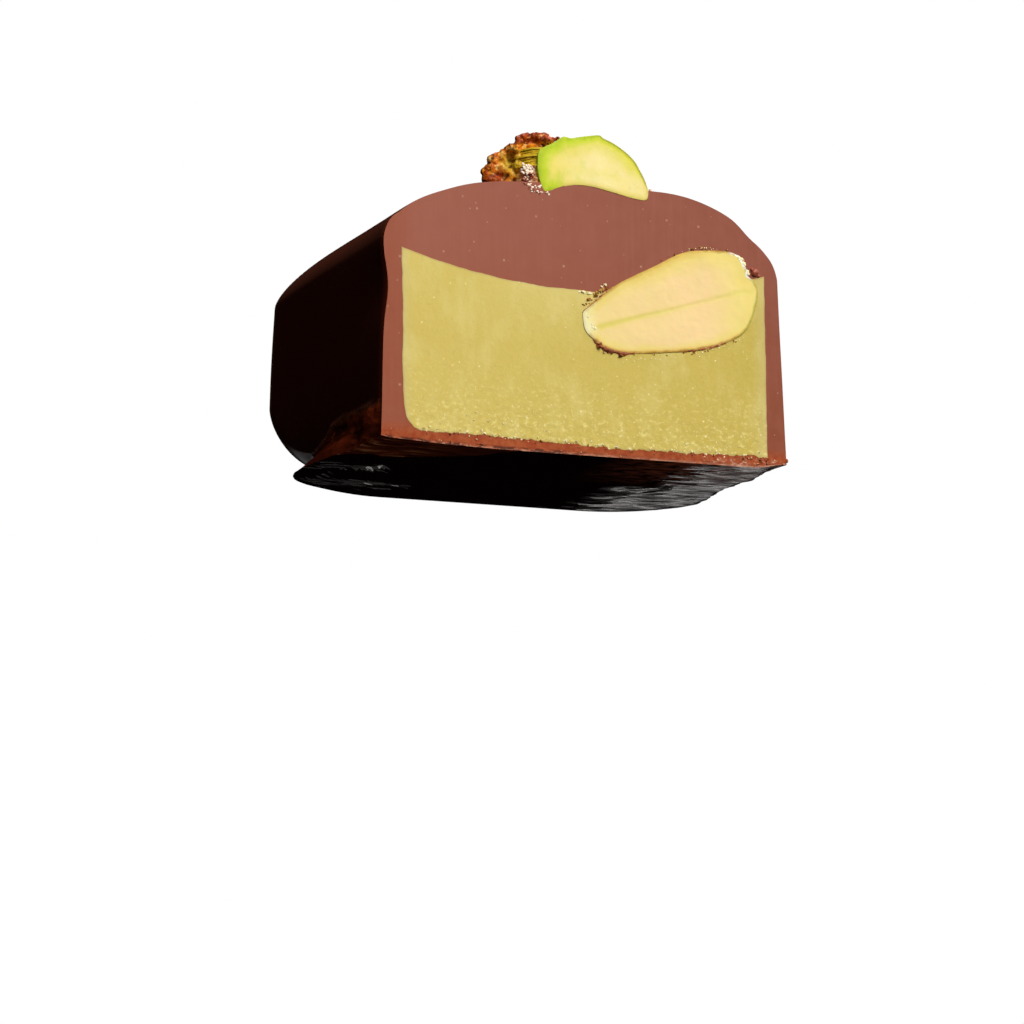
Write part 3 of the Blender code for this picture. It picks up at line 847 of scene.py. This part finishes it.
brown_skin = new_finish("papery brown skin")
patchy = times(at("Z", 8.9, 9.3), at("X", 3, 2.6), patches(0.22, 0.42, 0.54, 2, (2, 2, 7)))
brown = layers(
    blend(patches(0.3, 0.35, 0.65), (0.095, 0.02, 0.006), (0.4, 0.1, 0.025)),
    (patches(0.25, 0.56, 0.66, 2, (4, 1, 1)), (0.55, 0.33, 0.1)),
    (at("Z", 10.5, 11.5, 0, 0.75), (0.46, 0.23, 0.035)),
    (patchy, (0.5, 0.27, 0.055)),
)
surface(brown, 0.5, 0.2, bump=(mottle(0.2, 3), 0.02))

deselect_all()
bpy.ops.mesh.primitive_grid_add(x_subdivisions=900, y_subdivisions=4, size=2)
skin_rim = name_piece("kernel_skin_rim")
grid = shape_of(skin_rim)
angle, out = grid[:, 0] * math.pi, (grid[:, 1] + 1) / 2
circle = np.stack([np.cos(angle), np.sin(angle), angle * 0], axis=1)
width = table(np.degrees(angle), SKIN_WIDTH)
ragged = np.clip(0.9 + 1.1 * lumps(circle * 6, 0.5, 3.4, 4), 0.2, 1.8)
reach = radius_round(kernel_loop, KERNEL_CENTRE, angle) - SKIN_OVERLAP + out * (SKIN_OVERLAP + width * ragged)
raised = np.clip(width / 0.05, 0, 1)
crest = np.sin(out * math.pi) * 0.25 * np.maximum(width, 0) + 0.07 * raised
x, z = KERNEL_CENTRE[0] + reach * np.cos(angle), KERNEL_CENTRE[1] + reach * np.sin(angle)
curled = lumps(on_cut(x, z), 0.22, 6.1, 3) * 0.03 * np.sin(out * math.pi)
move_points(skin_rim, x, 0.03 - crest + curled * raised, z)
give_depth(0.5)
skin_rim.data.materials.append(brown_skin)
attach(skin_rim, "root")

draw = random.Random(11)
places = strewn(
    (((0.75, 7.05), (1.5, 6.6), (2.5, 6.38)), 20, (0.1, 0.26), 0.09, -0.02),
    (((3.2, 6.42), (5.5, 6.62), (8.0, 7.03), (10.2, 7.9)), 22, (0.07, 0.16), 0.05, 0.0),
    (((-0.1, 9.25), (0.35, 9.75), (1.1, 10.3), (1.7, 10.62)), 34, (0.1, 0.22), 0.07, -0.02),
    (((5.0, 12.5), (6.4, 13.15), (8.0, 13.6), (9.8, 13.65)), 14, (0.07, 0.15), 0.05, -0.02),
)
skin_flakes = scatter("kernel_skin_flakes", brown_skin, places, seed=21, bend=0.35)
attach(skin_flakes, "root")

red_skin = new_finish("dark red skin")
red = blend(mottle(0.3, 3), (0.2, 0.03, 0.018), (0.52, 0.13, 0.065))
surface(red, 0.25, 0.35, bump=(mottle(0.2, 3), 0.02))
places = [(11.58, -0.05, 12.3, 0.46, 0.8), (11.36, -0.02, 12.5, 0.22, 0.6), (11.84, 0.0, 12.1, 0.22, 0.7)]
red_flake = scatter("red_skin_flake", red_skin, places, seed=5, bend=0.15, detail=3)
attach(red_flake, "root")

white_flesh = new_finish("white kernel crumbs")
surface(blend(mottle(0.3), (0.93, 0.84, 0.58), (0.86, 0.74, 0.32)), 0.5, 0.2)
CHUNKY = (0.7, 0.95)
places = strewn(
    (((0.15, 8.9), (0.35, 8.3), (0.8, 7.8), (1.3, 7.4), (1.9, 7.1)), 26, (0.09, 0.2), 0.07, -0.03, CHUNKY),
    (((10.3, 13.32), (10.75, 13.1), (10.95, 12.6), (11.2, 12.2)), 16, (0.14, 0.26), 0.04, -0.02, CHUNKY),
    (((-0.2, 10.15), (0.2, 10.1), (0.5, 10.0)), 9, (0.12, 0.28), 0.08, -0.03),
    (((1.0, 10.55), (1.6, 10.8)), 8, (0.08, 0.18), 0.07, -0.03),
    (((6.2, 13.22), (8.0, 13.58), (9.4, 13.62)), 24, (0.04, 0.1), 0.05, 0.0),
    (((0.8, 6.6), (2.6, 6.1), (6.0, 6.45), (9.0, 7.15), (10.6, 8.0)), 90, (0.03, 0.11), 0.13, 0.0),
)
kernel_crumbs = scatter("kernel_crumbs", white_flesh, places, seed=22, bend=0.15, depth=0.3)
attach(kernel_crumbs, "root")

# Crumbs along the base. The knife crushed the lowest paste into the chocolate, and tore
# reddish and pale bits out of the thin base.
pale_paste = new_finish("pale paste grains")
surface(blend(mottle(0.3), (0.74, 0.62, 0.25), (0.92, 0.82, 0.5)), 0.6)
places = strewn(
    (((-10.9, 0.95), (-3.8, 0.8), (3.65, 0.65), (12.0, 0.8)), 150, (0.08, 0.2), 0.09, 0.0),
    (((-10.5, 1.6), (11.5, 1.4)), 90, (0.06, 0.14), 0.5, 0.0),
)
base_grains = scatter("paste_grains", pale_paste, places, seed=23, detail=1, depth=0.5)
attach(base_grains, "root")

red_chocolate = new_finish("torn chocolate crumbs")
red = layers(
    blend(mottle(0.4, 3), (0.2, 0.04, 0.012), (0.4, 0.13, 0.05)),
    (patches(0.6, 0.56, 0.64, 1, (2, 2, 2)), (0.72, 0.44, 0.2)),
)
surface(red, 0.6, 0.15)
places = strewn(
    (((-11.0, 0.78), (-3.8, 0.66), (3.65, 0.52), (12.2, 0.64)), 120, (0.06, 0.18), 0.08, 0.0),
    (((-13.3, 0.46), (-9.0, 0.25), (0.0, 0.16), (9.0, 0.23), (13.3, 0.52)), 60, (0.06, 0.13), 0.025, 0.0),
    (((10.4, 0.55), (11.8, 0.45), (12.8, 0.6)), 22, (0.08, 0.22), 0.1, -0.02),
)
places += [(4.62, 0.1, 16.93, 0.26, 0.8), (4.85, 0.15, 16.86, 0.18, 0.7), (13.56, 0.0, 0.56, 0.3, 0.6)]
chocolate_crumbs = scatter("chocolate_crumbs", red_chocolate, places, seed=24, detail=1, depth=0.6)
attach(chocolate_crumbs, "root")

# Pistachio on the dome. A kernel pressed into the soft chocolate as a topping and sliced with
# it: pale yellow inside, bright green under the skin, widest at its left end.
TOPPING_EDGE = (
    (-2.18, 16.37), (-2.48, 16.31), (-2.74, 16.73), (-2.93, 17.47), (-2.95, 18.22), (-2.85, 18.8), (-2.44, 19.12),
    (-1.97, 19.36), (-1.52, 19.64), (-1.24, 19.84), (-0.98, 19.84), (-0.66, 19.8), (-0.09, 19.93), (0.58, 20.06),
    (1.22, 20.14), (1.5, 19.97), (1.99, 19.79), (2.55, 19.5), (3.11, 19.12), (3.58, 18.67), (3.92, 18.12),
    (4.24, 17.51), (4.44, 16.9), (4.39, 16.45), (4.22, 16.28), (3.75, 16.3), (3.08, 16.4), (2.41, 16.54),
    (1.6, 16.69), (0.8, 16.84), (-0.14, 16.89), (-1.07, 16.75), (-1.75, 16.5),
)
TOPPING_CENTRE, TOPPING_BACK = np.array((0.3, 18.2)), (0.4, 16.9)
GREEN_BAND = ((-2.9, 1.15), (-1.5, 0.95), (0.0, 0.62), (1.2, 0.46), (2.4, 0.32), (4.4, 0.24))


def creases(points, size, seed=0.0, octaves=4):
    """Sharp ridges with hollows between them, about 0 to 1."""
    spread = grains(points, size, seed)
    return np.array([noise.ridged_multi_fractal(point, 1.0, 2.2, octaves, 1.0, 2.0) for point in spread]) / 2


topping_loop = smooth_loop(TOPPING_EDGE, 8)
topping, points, on_slice = sliced_body(
    "topping_kernel_slice", topping_loop, TOPPING_CENTRE, TOPPING_BACK, depth=4.3, proud=0.02, segments=260, rings=110
)
inward = np.where(on_slice, distance_to(points, topping_loop), 0)
ribs = (creases(points, (1.6, 2.4, 0.8), 4.2, 3) - 0.5) * 0.22
points[:, 1] += np.where(on_slice, 0.01 * (1 - smooth_step(inward / 0.12)), 0)
points[:, 1] -= np.where(on_slice, lumps(points, 2.4, 2.0) * 0.03, 0)
move_points(topping, points)
points += np.where(on_slice, 0, ribs * smooth_step(points[:, 1] / 0.6))[:, None] * normals_of(topping)
move_points(topping, points)
smooth_shading(50)
x, y, z = points.T
on_top = np.maximum(smooth_step((z - 17.2) / 1.0), smooth_step((-1.0 - x) / 0.9))
mark(topping, "green", np.clip(1 - inward / table(x, GREEN_BAND), 0, 1) * on_top)
mark(topping, "inward", inward)
mark(topping, "skin", np.where(on_slice, 0, smooth_step(y / 0.35)))

green_kernel = new_finish("green kernel")
at_right = at("X", 1.2, 3.2)
uneven = wavering(kept("green"), 0.45, 0.26, 4)
to_rim = times(between(kept("inward"), 1.3, 0.25), at("Z", 17.2, 18.2))
olive_rim = times(between(kept("inward"), 0.17, 0.05), at("X", 0.5, 2.2), at("Z", 16.6, 17.4))
pale = layers(
    blend(patches(1.3, 0.3, 0.7), (0.9, 0.745, 0.265), (0.93, 0.795, 0.365)),
    (times(at("X", 0.9, -1.6), 0.6), (0.82, 0.68, 0.075)),
    (times(between(kept("inward"), 0.42, 0.0), 0.8), (0.78, 0.6, 0.1)),
    (times(to_rim, 0.9), (0.74, 0.68, 0.07)),
)
lively = blend(at_right, (0.56, 0.66, 0.03), (0.56, 0.56, 0.035))
outer = layers(
    blend(mottle((2.2, 2.2, 0.5), 3), (0.26, 0.36, 0.03), (0.5, 0.55, 0.06)),
    (patches(0.8, 0.55, 0.75, 3, (1, 2, 3)), (0.3, 0.16, 0.04)),
    (times(at_right, at("Y", 1.2, 0.3)), (0.42, 0.36, 0.03)),
)
green = layers(
    blend(between(uneven, 0.02, 0.62), pale, lively),
    (between(uneven, 0.62, 1.1, 0.0, 0.85), (0.32, 0.45, 0.007)),
    (olive_rim, (0.27, 0.24, 0.012)),
    (kept("skin"), outer),
)
surface(green, 0.42, 0.12, glow=(0.2, (0.8, 0.8, 0.2)), bump=(mottle(0.3, 4), 0.006))
topping.data.materials.append(green_kernel)
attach(topping, "root")
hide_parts("topping_kernel")

# Torn end of the topping. The knife ripped the kernel's left end instead of slicing it: ochre
# flesh under curled, dark red-brown skin, round a small hollow.
TORN_BODY = (                             # lumps: x, behind the cut, height, radius
    (-5.53, 2.0, 17.68, 0.35), (-5.4, 2.0, 17.34, 0.44), (-5.31, 1.9, 17.89, 0.38), (-5.1, 1.9, 18.42, 0.4),
    (-4.93, 1.9, 18.55, 0.38), (-4.67, 1.8, 18.66, 0.35), (-4.41, 1.7, 18.86, 0.35), (-4.2, 1.5, 19.09, 0.32),
    (-4.05, 1.3, 19.22, 0.28), (-4.58, 2.2, 17.84, 0.76), (-4.04, 2.2, 18.26, 0.88), (-3.61, 2.1, 18.5, 0.82),
    (-3.19, 2.0, 18.6, 0.82), (-2.65, 2.0, 18.65, 0.88), (-4.06, 1.7, 17.5, 0.63), (-3.48, 1.5, 17.7, 0.57),
    (-2.9, 1.3, 17.7, 0.5), (-1.56, 2.8, 18.9, 1.1), (-0.67, 3.0, 18.9, 1.0), (-5.0, 2.1, 17.1, 0.6),
    (-3.7, 1.25, 18.0, 0.5), (-3.72, 1.3, 18.45, 0.45), (-3.6, 1.3, 18.9, 0.42), (-3.45, 1.35, 19.35, 0.36),
    (-2.9, 1.3, 19.3, 0.4), (-2.35, 1.2, 19.3, 0.38), (-1.9, 1.05, 19.25, 0.36), (-3.1, 1.15, 18.0, 0.45),
    (-3.5, 0.85, 17.45, 0.36), (-3.15, 0.8, 17.05, 0.36), (-3.05, 0.85, 17.65, 0.34), (-3.7, 0.95, 17.2, 0.36),
    (-3.55, 0.66, 17.6, 0.3), (-3.22, 0.62, 17.62, 0.28), (-3.38, 0.6, 17.15, 0.32), (-3.15, 0.5, 16.8, 0.3),
    (-2.95, 0.48, 17.35, 0.3), (-3.0, 0.34, 17.8, 0.22), (-3.02, 0.34, 17.45, 0.22), (-3.0, 0.32, 17.1, 0.22),
    (-2.95, 0.3, 16.8, 0.2), (-4.3, 1.8, 17.0, 0.6), (-3.0, 1.6, 18.9, 0.6), (-3.5, 1.6, 19.1, 0.45),
    (-2.5, 1.6, 19.2, 0.5),
)
TORN_SKIN = (
    (-3.69, 1.1, 19.7, 0.26), (-3.45, 1.05, 19.83, 0.28), (-3.13, 1.0, 19.9, 0.26), (-2.82, 0.95, 19.94, 0.25),
    (-2.51, 0.9, 20.0, 0.25), (-2.19, 0.85, 20.02, 0.22), (-2.01, 0.8, 20.03, 0.18), (-2.42, 0.8, 19.78, 0.26),
    (-2.11, 0.75, 19.73, 0.29), (-1.83, 0.7, 19.72, 0.26), (-1.57, 0.6, 19.77, 0.2), (-3.67, 1.0, 19.5, 0.22),
    (-3.85, 1.05, 19.34, 0.23), (-3.93, 0.95, 18.99, 0.18), (-1.34, 0.55, 19.9, 0.16), (-3.05, 1.2, 19.66, 0.3),
    (-2.56, 1.1, 19.62, 0.3), (-3.9, 0.95, 19.17, 0.18), (-1.7, 0.9, 19.55, 0.26),
)
PIT_PLACE, PIT_REACH, PIT_DEPTH = (-4.25, 1.15, 18.5), (0.17, 0.5, 0.28), 0.3
FOLD_DEPTH, NICK_DEPTH = 0.16, 0.1
MERGE_SIZE = 0.055

first = round_lump(3, 1.0)
copies = []
for x, behind, z, radius in TORN_BODY + TORN_SKIN:
    copy = copy_of(first)
    for point in copy.data.vertices:
        point.co = (point.co * radius + Vector((MIDDLE_X + x, CUT_Y + behind, z))) * MM
    copies.append(copy)
bpy.data.objects.remove(first)
torn_end = make_one(copies, "torn_pistachio_end")
merge = torn_end.modifiers.new("merge", "REMESH")
merge.mode = "VOXEL"
merge.voxel_size = MERGE_SIZE * MM
bpy.ops.object.modifier_apply(modifier="merge")
points = points_of(torn_end)
fold = creases(points, 0.8, 3.3, 3)
nick = creases(points, 0.32, 7.3, 3)
pit = bell(np.linalg.norm((points - PIT_PLACE) / PIT_REACH, axis=1))
shaped = (fold - 0.6) * FOLD_DEPTH + (nick - 0.5) * NICK_DEPTH - pit * PIT_DEPTH
points = points + normals_of(torn_end) * shaped[:, None]
move_points(torn_end, points)
smooth_shading(60)
x, y, z = points.T
cap = smooth_step((z - 19.42 - 0.12 * (x + 2.5)) / 0.2)
tip = smooth_step((17.75 - z + 0.5 * (x + 5.2)) / 0.4) * smooth_step((-4.3 - x) / 0.5)
middle = np.hypot((x + 4.0) / 0.75, (z - 18.15) / 0.75)
bed = np.hypot((x + 3.3) / 0.55, (z - 17.2) / 0.8)
mark(torn_end, "curl", np.maximum(cap, tip))
mark(torn_end, "fold", (fold + nick) / 2)
mark(torn_end, "pit", pit)
mark(torn_end, "olive", np.clip(1.4 - middle, 0, 1) * (z < 19.2))
mark(torn_end, "bed", np.clip(2 - 1.6 * bed, 0, 1) * (y < 1.0))

torn_skin = new_finish("torn pistachio skin")
golden = blend(mottle((0.5, 0.5, 0.25), 3), (0.5, 0.29, 0.014), (0.78, 0.5, 0.04))
red_brown = blend(patches(0.35, 0.35, 0.65), (0.085, 0.009, 0.001), (0.44, 0.065, 0.008))
rusted = times(at("X", -4.2, -4.9), at("Z", 18.6, 17.9), patches(0.38, 0.46, 0.58, 3, (0, 6, 2)))
rosy = blend(mottle(0.3), (0.56, 0.2, 0.07), (0.72, 0.42, 0.22))
# Painted highlights: bright patches on the curled skin
curls = blend(patches(0.28, 0.61, 0.69, 2, (2, 0, 5)), red_brown, (0.6, 0.22, 0.06))
ripped = layers(
    blend(patches(0.4, 0.4, 0.6), (0.86, 0.3, 0.016), (0.58, 0.12, 0.007)),
    # painted highlights in patches
    (patches(0.32, 0.54, 0.64, 3, (3, 1, 0)), (0.93, 0.62, 0.2)),
    (patches(0.5, 0.58, 0.68, 3, (1, 4, 0)), (0.16, 0.036, 0.006)),
    (kept("olive"), golden),
    # painted shade: darker in the hollows of the creases
    (between(kept("fold"), 0.45, 0.25), (0.12, 0.03, 0.006)),
    (rusted, red_brown),
    (kept("bed"), rosy),
    (kept("curl"), curls),
    # painted shade: dark in the pit
    (between(kept("pit"), 0.25, 1.0), (0.03, 0.008, 0.001)),
)
surface(ripped, 0.3, 0.09, bump=(mottle(0.16, 4), 0.035))
torn_end.data.materials.append(torn_skin)
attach(torn_end, "root")
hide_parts("topping_skin")

# Layered flesh between the torn end and the slice. Thin olive leaves, one above another,
# where the kernel split along its grain.
LEAVES, LOWEST_LEAF, LEAF_SPACING = 8, 17.9, 0.15
LEAF_LEFT, LEAF_RIGHT, LEAF_DEPTH = -4.05, -2.45, 1.4

olive_flesh = new_finish("olive flesh")
olive = layers(
    blend(mottle((0.9, 0.5, 0.16), 3), (0.62, 0.36, 0.01), (0.94, 0.67, 0.045)),
    (patches((0.12, 1, 0.8), 0.55, 0.7, 2, most=0.4), (0.22, 0.12, 0.006)),
)
surface(olive, 0.5, 0.15, bump=(mottle((0.5, 0.5, 0.1), 3), 0.02))
leaves = []
for number in range(LEAVES):
    leaf, cube = block("leaf", 9)
    share, back, up = (cube[:, 0] + 1) / 2, (cube[:, 1] + 1) / 2, cube[:, 2] / 2
    sunk = 0.14 * ((number * 5) % 4) / 3
    left = LEAF_LEFT + 0.1 * ((number * 3) % 4)
    x = left + (LEAF_RIGHT - left) * share
    y = 0.04 + sunk * np.sqrt(np.clip(1 - share, 0, 1)) + 0.95 * (1 - share) ** 2 + back * LEAF_DEPTH
    wave = lumps(np.stack([x, y, x * 0 + number], axis=1), (0.6, 0.5, 1.0), number + 0.5, 4)
    y = y - wave * 0.1 * (cube[:, 1] < -0.8)
    z = LOWEST_LEAF + LEAF_SPACING * number + up * (0.02 + 0.095 * np.sqrt(np.clip(share * 5, 0, 1)))
    z = z + lumps(on_cut(x, 0), 0.5, 2.2, 3) * 0.05 + 0.08 * np.sin(share * 2.8)
    move_points(leaf, x, y, z)
    leaves.append(leaf)
flesh_layers = make_one(leaves, "layered_flesh")
smooth_shading(50)
flesh_layers.data.materials.append(olive_flesh)
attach(flesh_layers, "root")

# Crumbs of the topping. Pinkish white kernel crumbs under the torn end, some pressed into the
# chocolate's edge, with a few dark bits of skin.
pink_crumb = new_finish("pinkish kernel crumbs")
surface(blend(mottle(0.3), (0.93, 0.68, 0.46), (0.98, 0.9, 0.76)), 0.5, 0.2, bump=(mottle(0.12), 0.006))
ROUNDISH = (0.65, 0.95)
places = strewn(
    (((-3.75, 17.8), (-3.45, 17.75), (-3.15, 17.8)), 34, (0.14, 0.24), 0.08, 0.33, ROUNDISH),
    (((-3.75, 17.55), (-3.5, 17.45), (-3.1, 17.5)), 36, (0.14, 0.24), 0.09, 0.34, ROUNDISH),
    (((-3.6, 17.1), (-3.4, 16.95), (-3.1, 17.0)), 14, (0.1, 0.18), 0.1, 0.32, ROUNDISH),
    (((-3.5, 16.6), (-3.2, 16.55), (-2.9, 16.5)), 26, (0.12, 0.2), 0.08, 0.04, ROUNDISH),
    (((-3.45, 16.3), (-2.9, 16.2), (-2.2, 16.2)), 24, (0.08, 0.16), 0.06, 0.02, ROUNDISH),
)
topping_crumbs = scatter("topping_crumbs", pink_crumb, places, seed=25, bend=0.08, depth=0.6)
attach(topping_crumbs, "root")

places = strewn(
    (((-4.0, 17.0), (-3.75, 16.7), (-3.5, 16.4), (-2.8, 16.25)), 22, (0.08, 0.2), 0.08, 0.03),
    (((-3.5, 17.3), (-3.3, 17.2)), 6, (0.14, 0.24), 0.08, 0.18),
)
topping_bits = scatter("topping_skin_bits", red_skin, places, seed=26, bend=0.35)
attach(topping_bits, "root")

# Stage. A pale table that cannot be seen from below, with a gap for the praline's underside,
# soft studio light, and the camera to the left of the cut and below it.
GAP_SHARE, FLOOR_DROP, FLOOR_MIDDLE_Y = 0.995, 0.02, 7

deselect_all()
bpy.ops.mesh.primitive_circle_add(vertices=96, radius=1.0, fill_type="NOTHING")
floor = name_piece("floor")
circle = shape_of(floor)
angle = np.arctan2(circle[:, 1], circle[:, 0])
rim_x, rim_y = walls(np.clip(angle / math.pi, 0, 1), np.zeros_like(angle))
rim_x = np.where(angle < 0, np.cos(angle) * WALL_FOOT_LEFT, rim_x)
move_points(floor, rim_x * GAP_SHARE, np.maximum(rim_y * GAP_SHARE, 0.05), angle * 0 - FLOOR_DROP)
bpy.ops.object.mode_set(mode="EDIT")
bpy.ops.mesh.select_all(action="SELECT")
for growth in (2.5, 3.0, 4.0, 4.0):
    bpy.ops.mesh.extrude_edges_move()
    middle = Vector((MIDDLE_X, CUT_Y + FLOOR_MIDDLE_Y, -FLOOR_DROP)) * MM
    bpy.ops.transform.resize(value=(growth, growth, 1), center_override=middle)
bpy.ops.mesh.select_all(action="SELECT")
bpy.ops.mesh.normals_make_consistent(inside=False)
bpy.ops.object.mode_set(mode="OBJECT")
if floor.data.polygons[0].normal.z < 0:
    floor.data.flip_normals()

table_top = new_finish("table top")
paths = add("LightPath").outputs
away = add("VectorMath", {0: add("TexCoord").outputs["Object"]}, operation="LENGTH").outputs["Value"]
dim = blend(paths["Is Diffuse Ray"], (0.82, 0.82, 0.81), (0.015, 0.015, 0.015))
surface(blend(paths["Is Glossy Ray"], dim, (0.07, 0.07, 0.07)), 0.6)
white = add("Emission", {"Color": (1, 1, 1, 1), "Strength": 1.0}).outputs[0]
far = times(between(away, 0.05, 0.2), paths["Is Camera Ray"])
fade = add("MixShader", {0: far, 1: shader.outputs[0], 2: white}).outputs[0]
clear = add("BsdfTransparent").outputs[0]
see_through = add("MixShader", {0: add("NewGeometry").outputs["Backfacing"], 1: fade, 2: clear}).outputs[0]
give(tree.nodes["Material Output"].inputs["Surface"], see_through)
floor.data.materials.append(table_top)

world = bpy.data.worlds.new("studio")
bpy.context.scene.world = world
world.use_nodes = True
tree = world.node_tree


def facing(direction, low, high):
    """Share of the room that lies towards a direction."""
    room = add("TexCoord").outputs["Generated"]
    turned = add("VectorMath", {0: room, 1: direction}, operation="DOT_PRODUCT")
    return between(turned.outputs["Value"], low, high)


paths = add("LightPath").outputs
look = add("SeparateXYZ", {0: add("TexCoord").outputs["Generated"]}).outputs
mirrored = layers(
    blend(between(look["Y"], 0.55, 0.8), (0.006, 0.006, 0.006), (0.0012, 0.0008, 0.0008)),
    (between(look["Z"], 0.45, 0.8), (0.5, 0.5, 0.5)),
    (facing((0.39, 0.9, -0.2), 0.984, 0.995), (1.45, 1.39, 1.35)),        # a card that the underside mirrors
    (facing((0.0, 0.848, 0.53), 0.9, 0.985), (0.038, 0.015, 0.009)),
)
soft = layers(
    blend(between(look["Z"], 0.0, -0.2), (0.015, 0.015, 0.015), (0.04, 0.038, 0.036)),
    (facing((0.1, -0.76, -0.64), 0.8, 0.95), (0.42, 0.41, 0.4)),
)
room = blend(paths["Is Glossy Ray"], soft, mirrored)
# Painted shade: seen downward, as through the table's gap, the room is dark like the shade under the praline
backdrop = blend(between(look["Z"], -0.02, -0.04), (1, 1, 1), (0.1, 0.085, 0.075))
give(tree.nodes["Background"].inputs["Color"], blend(paths["Is Camera Ray"], room, backdrop))
bpy.context.scene.view_settings.view_transform = "Standard"


def towards(azimuth, elevation):
    """Direction from the praline, turned from the cut to the right and then up, in degrees."""
    azimuth, elevation = math.radians(azimuth), math.radians(elevation)
    level = math.cos(elevation)
    return Vector((math.sin(azimuth) * level, -math.cos(azimuth) * level, math.sin(elevation)))


LIGHT_DISTANCE, CAMERA_DISTANCE = 0.45, 0.4
for name, azimuth, elevation, size, power in (
    ("front_light", 14, 42, 0.3, 2.74),
    ("side_light", 80, 35, 0.25, 0.7),
    ("back_light", 130, 50, 0.25, 1.2),
):
    light = bpy.data.lights.new(name, "AREA")
    light.size = size
    light.energy = power
    lamp = bpy.data.objects.new(name, light)
    bpy.context.scene.collection.objects.link(lamp)
    away = towards(azimuth, elevation)
    lamp.location = away * LIGHT_DISTANCE
    lamp.rotation_euler = away.to_track_quat("Z", "Y").to_euler()

camera_data = bpy.data.cameras.new("camera")
camera = bpy.data.objects.new("camera", camera_data)
bpy.context.scene.collection.objects.link(camera)
bpy.context.scene.camera = camera
back = towards(-23.3, -10.8)
camera.location = Vector((0.625, 1.562, -1.296)) * MM + back * CAMERA_DISTANCE
roll = Matrix.Rotation(math.radians(-0.71), 3, "Z")
camera.rotation_euler = (back.to_track_quat("Z", "Y").to_matrix() @ roll).to_euler()
camera_data.sensor_width = 36
camera_data.lens = 225.15
camera_data.clip_start = 0.01
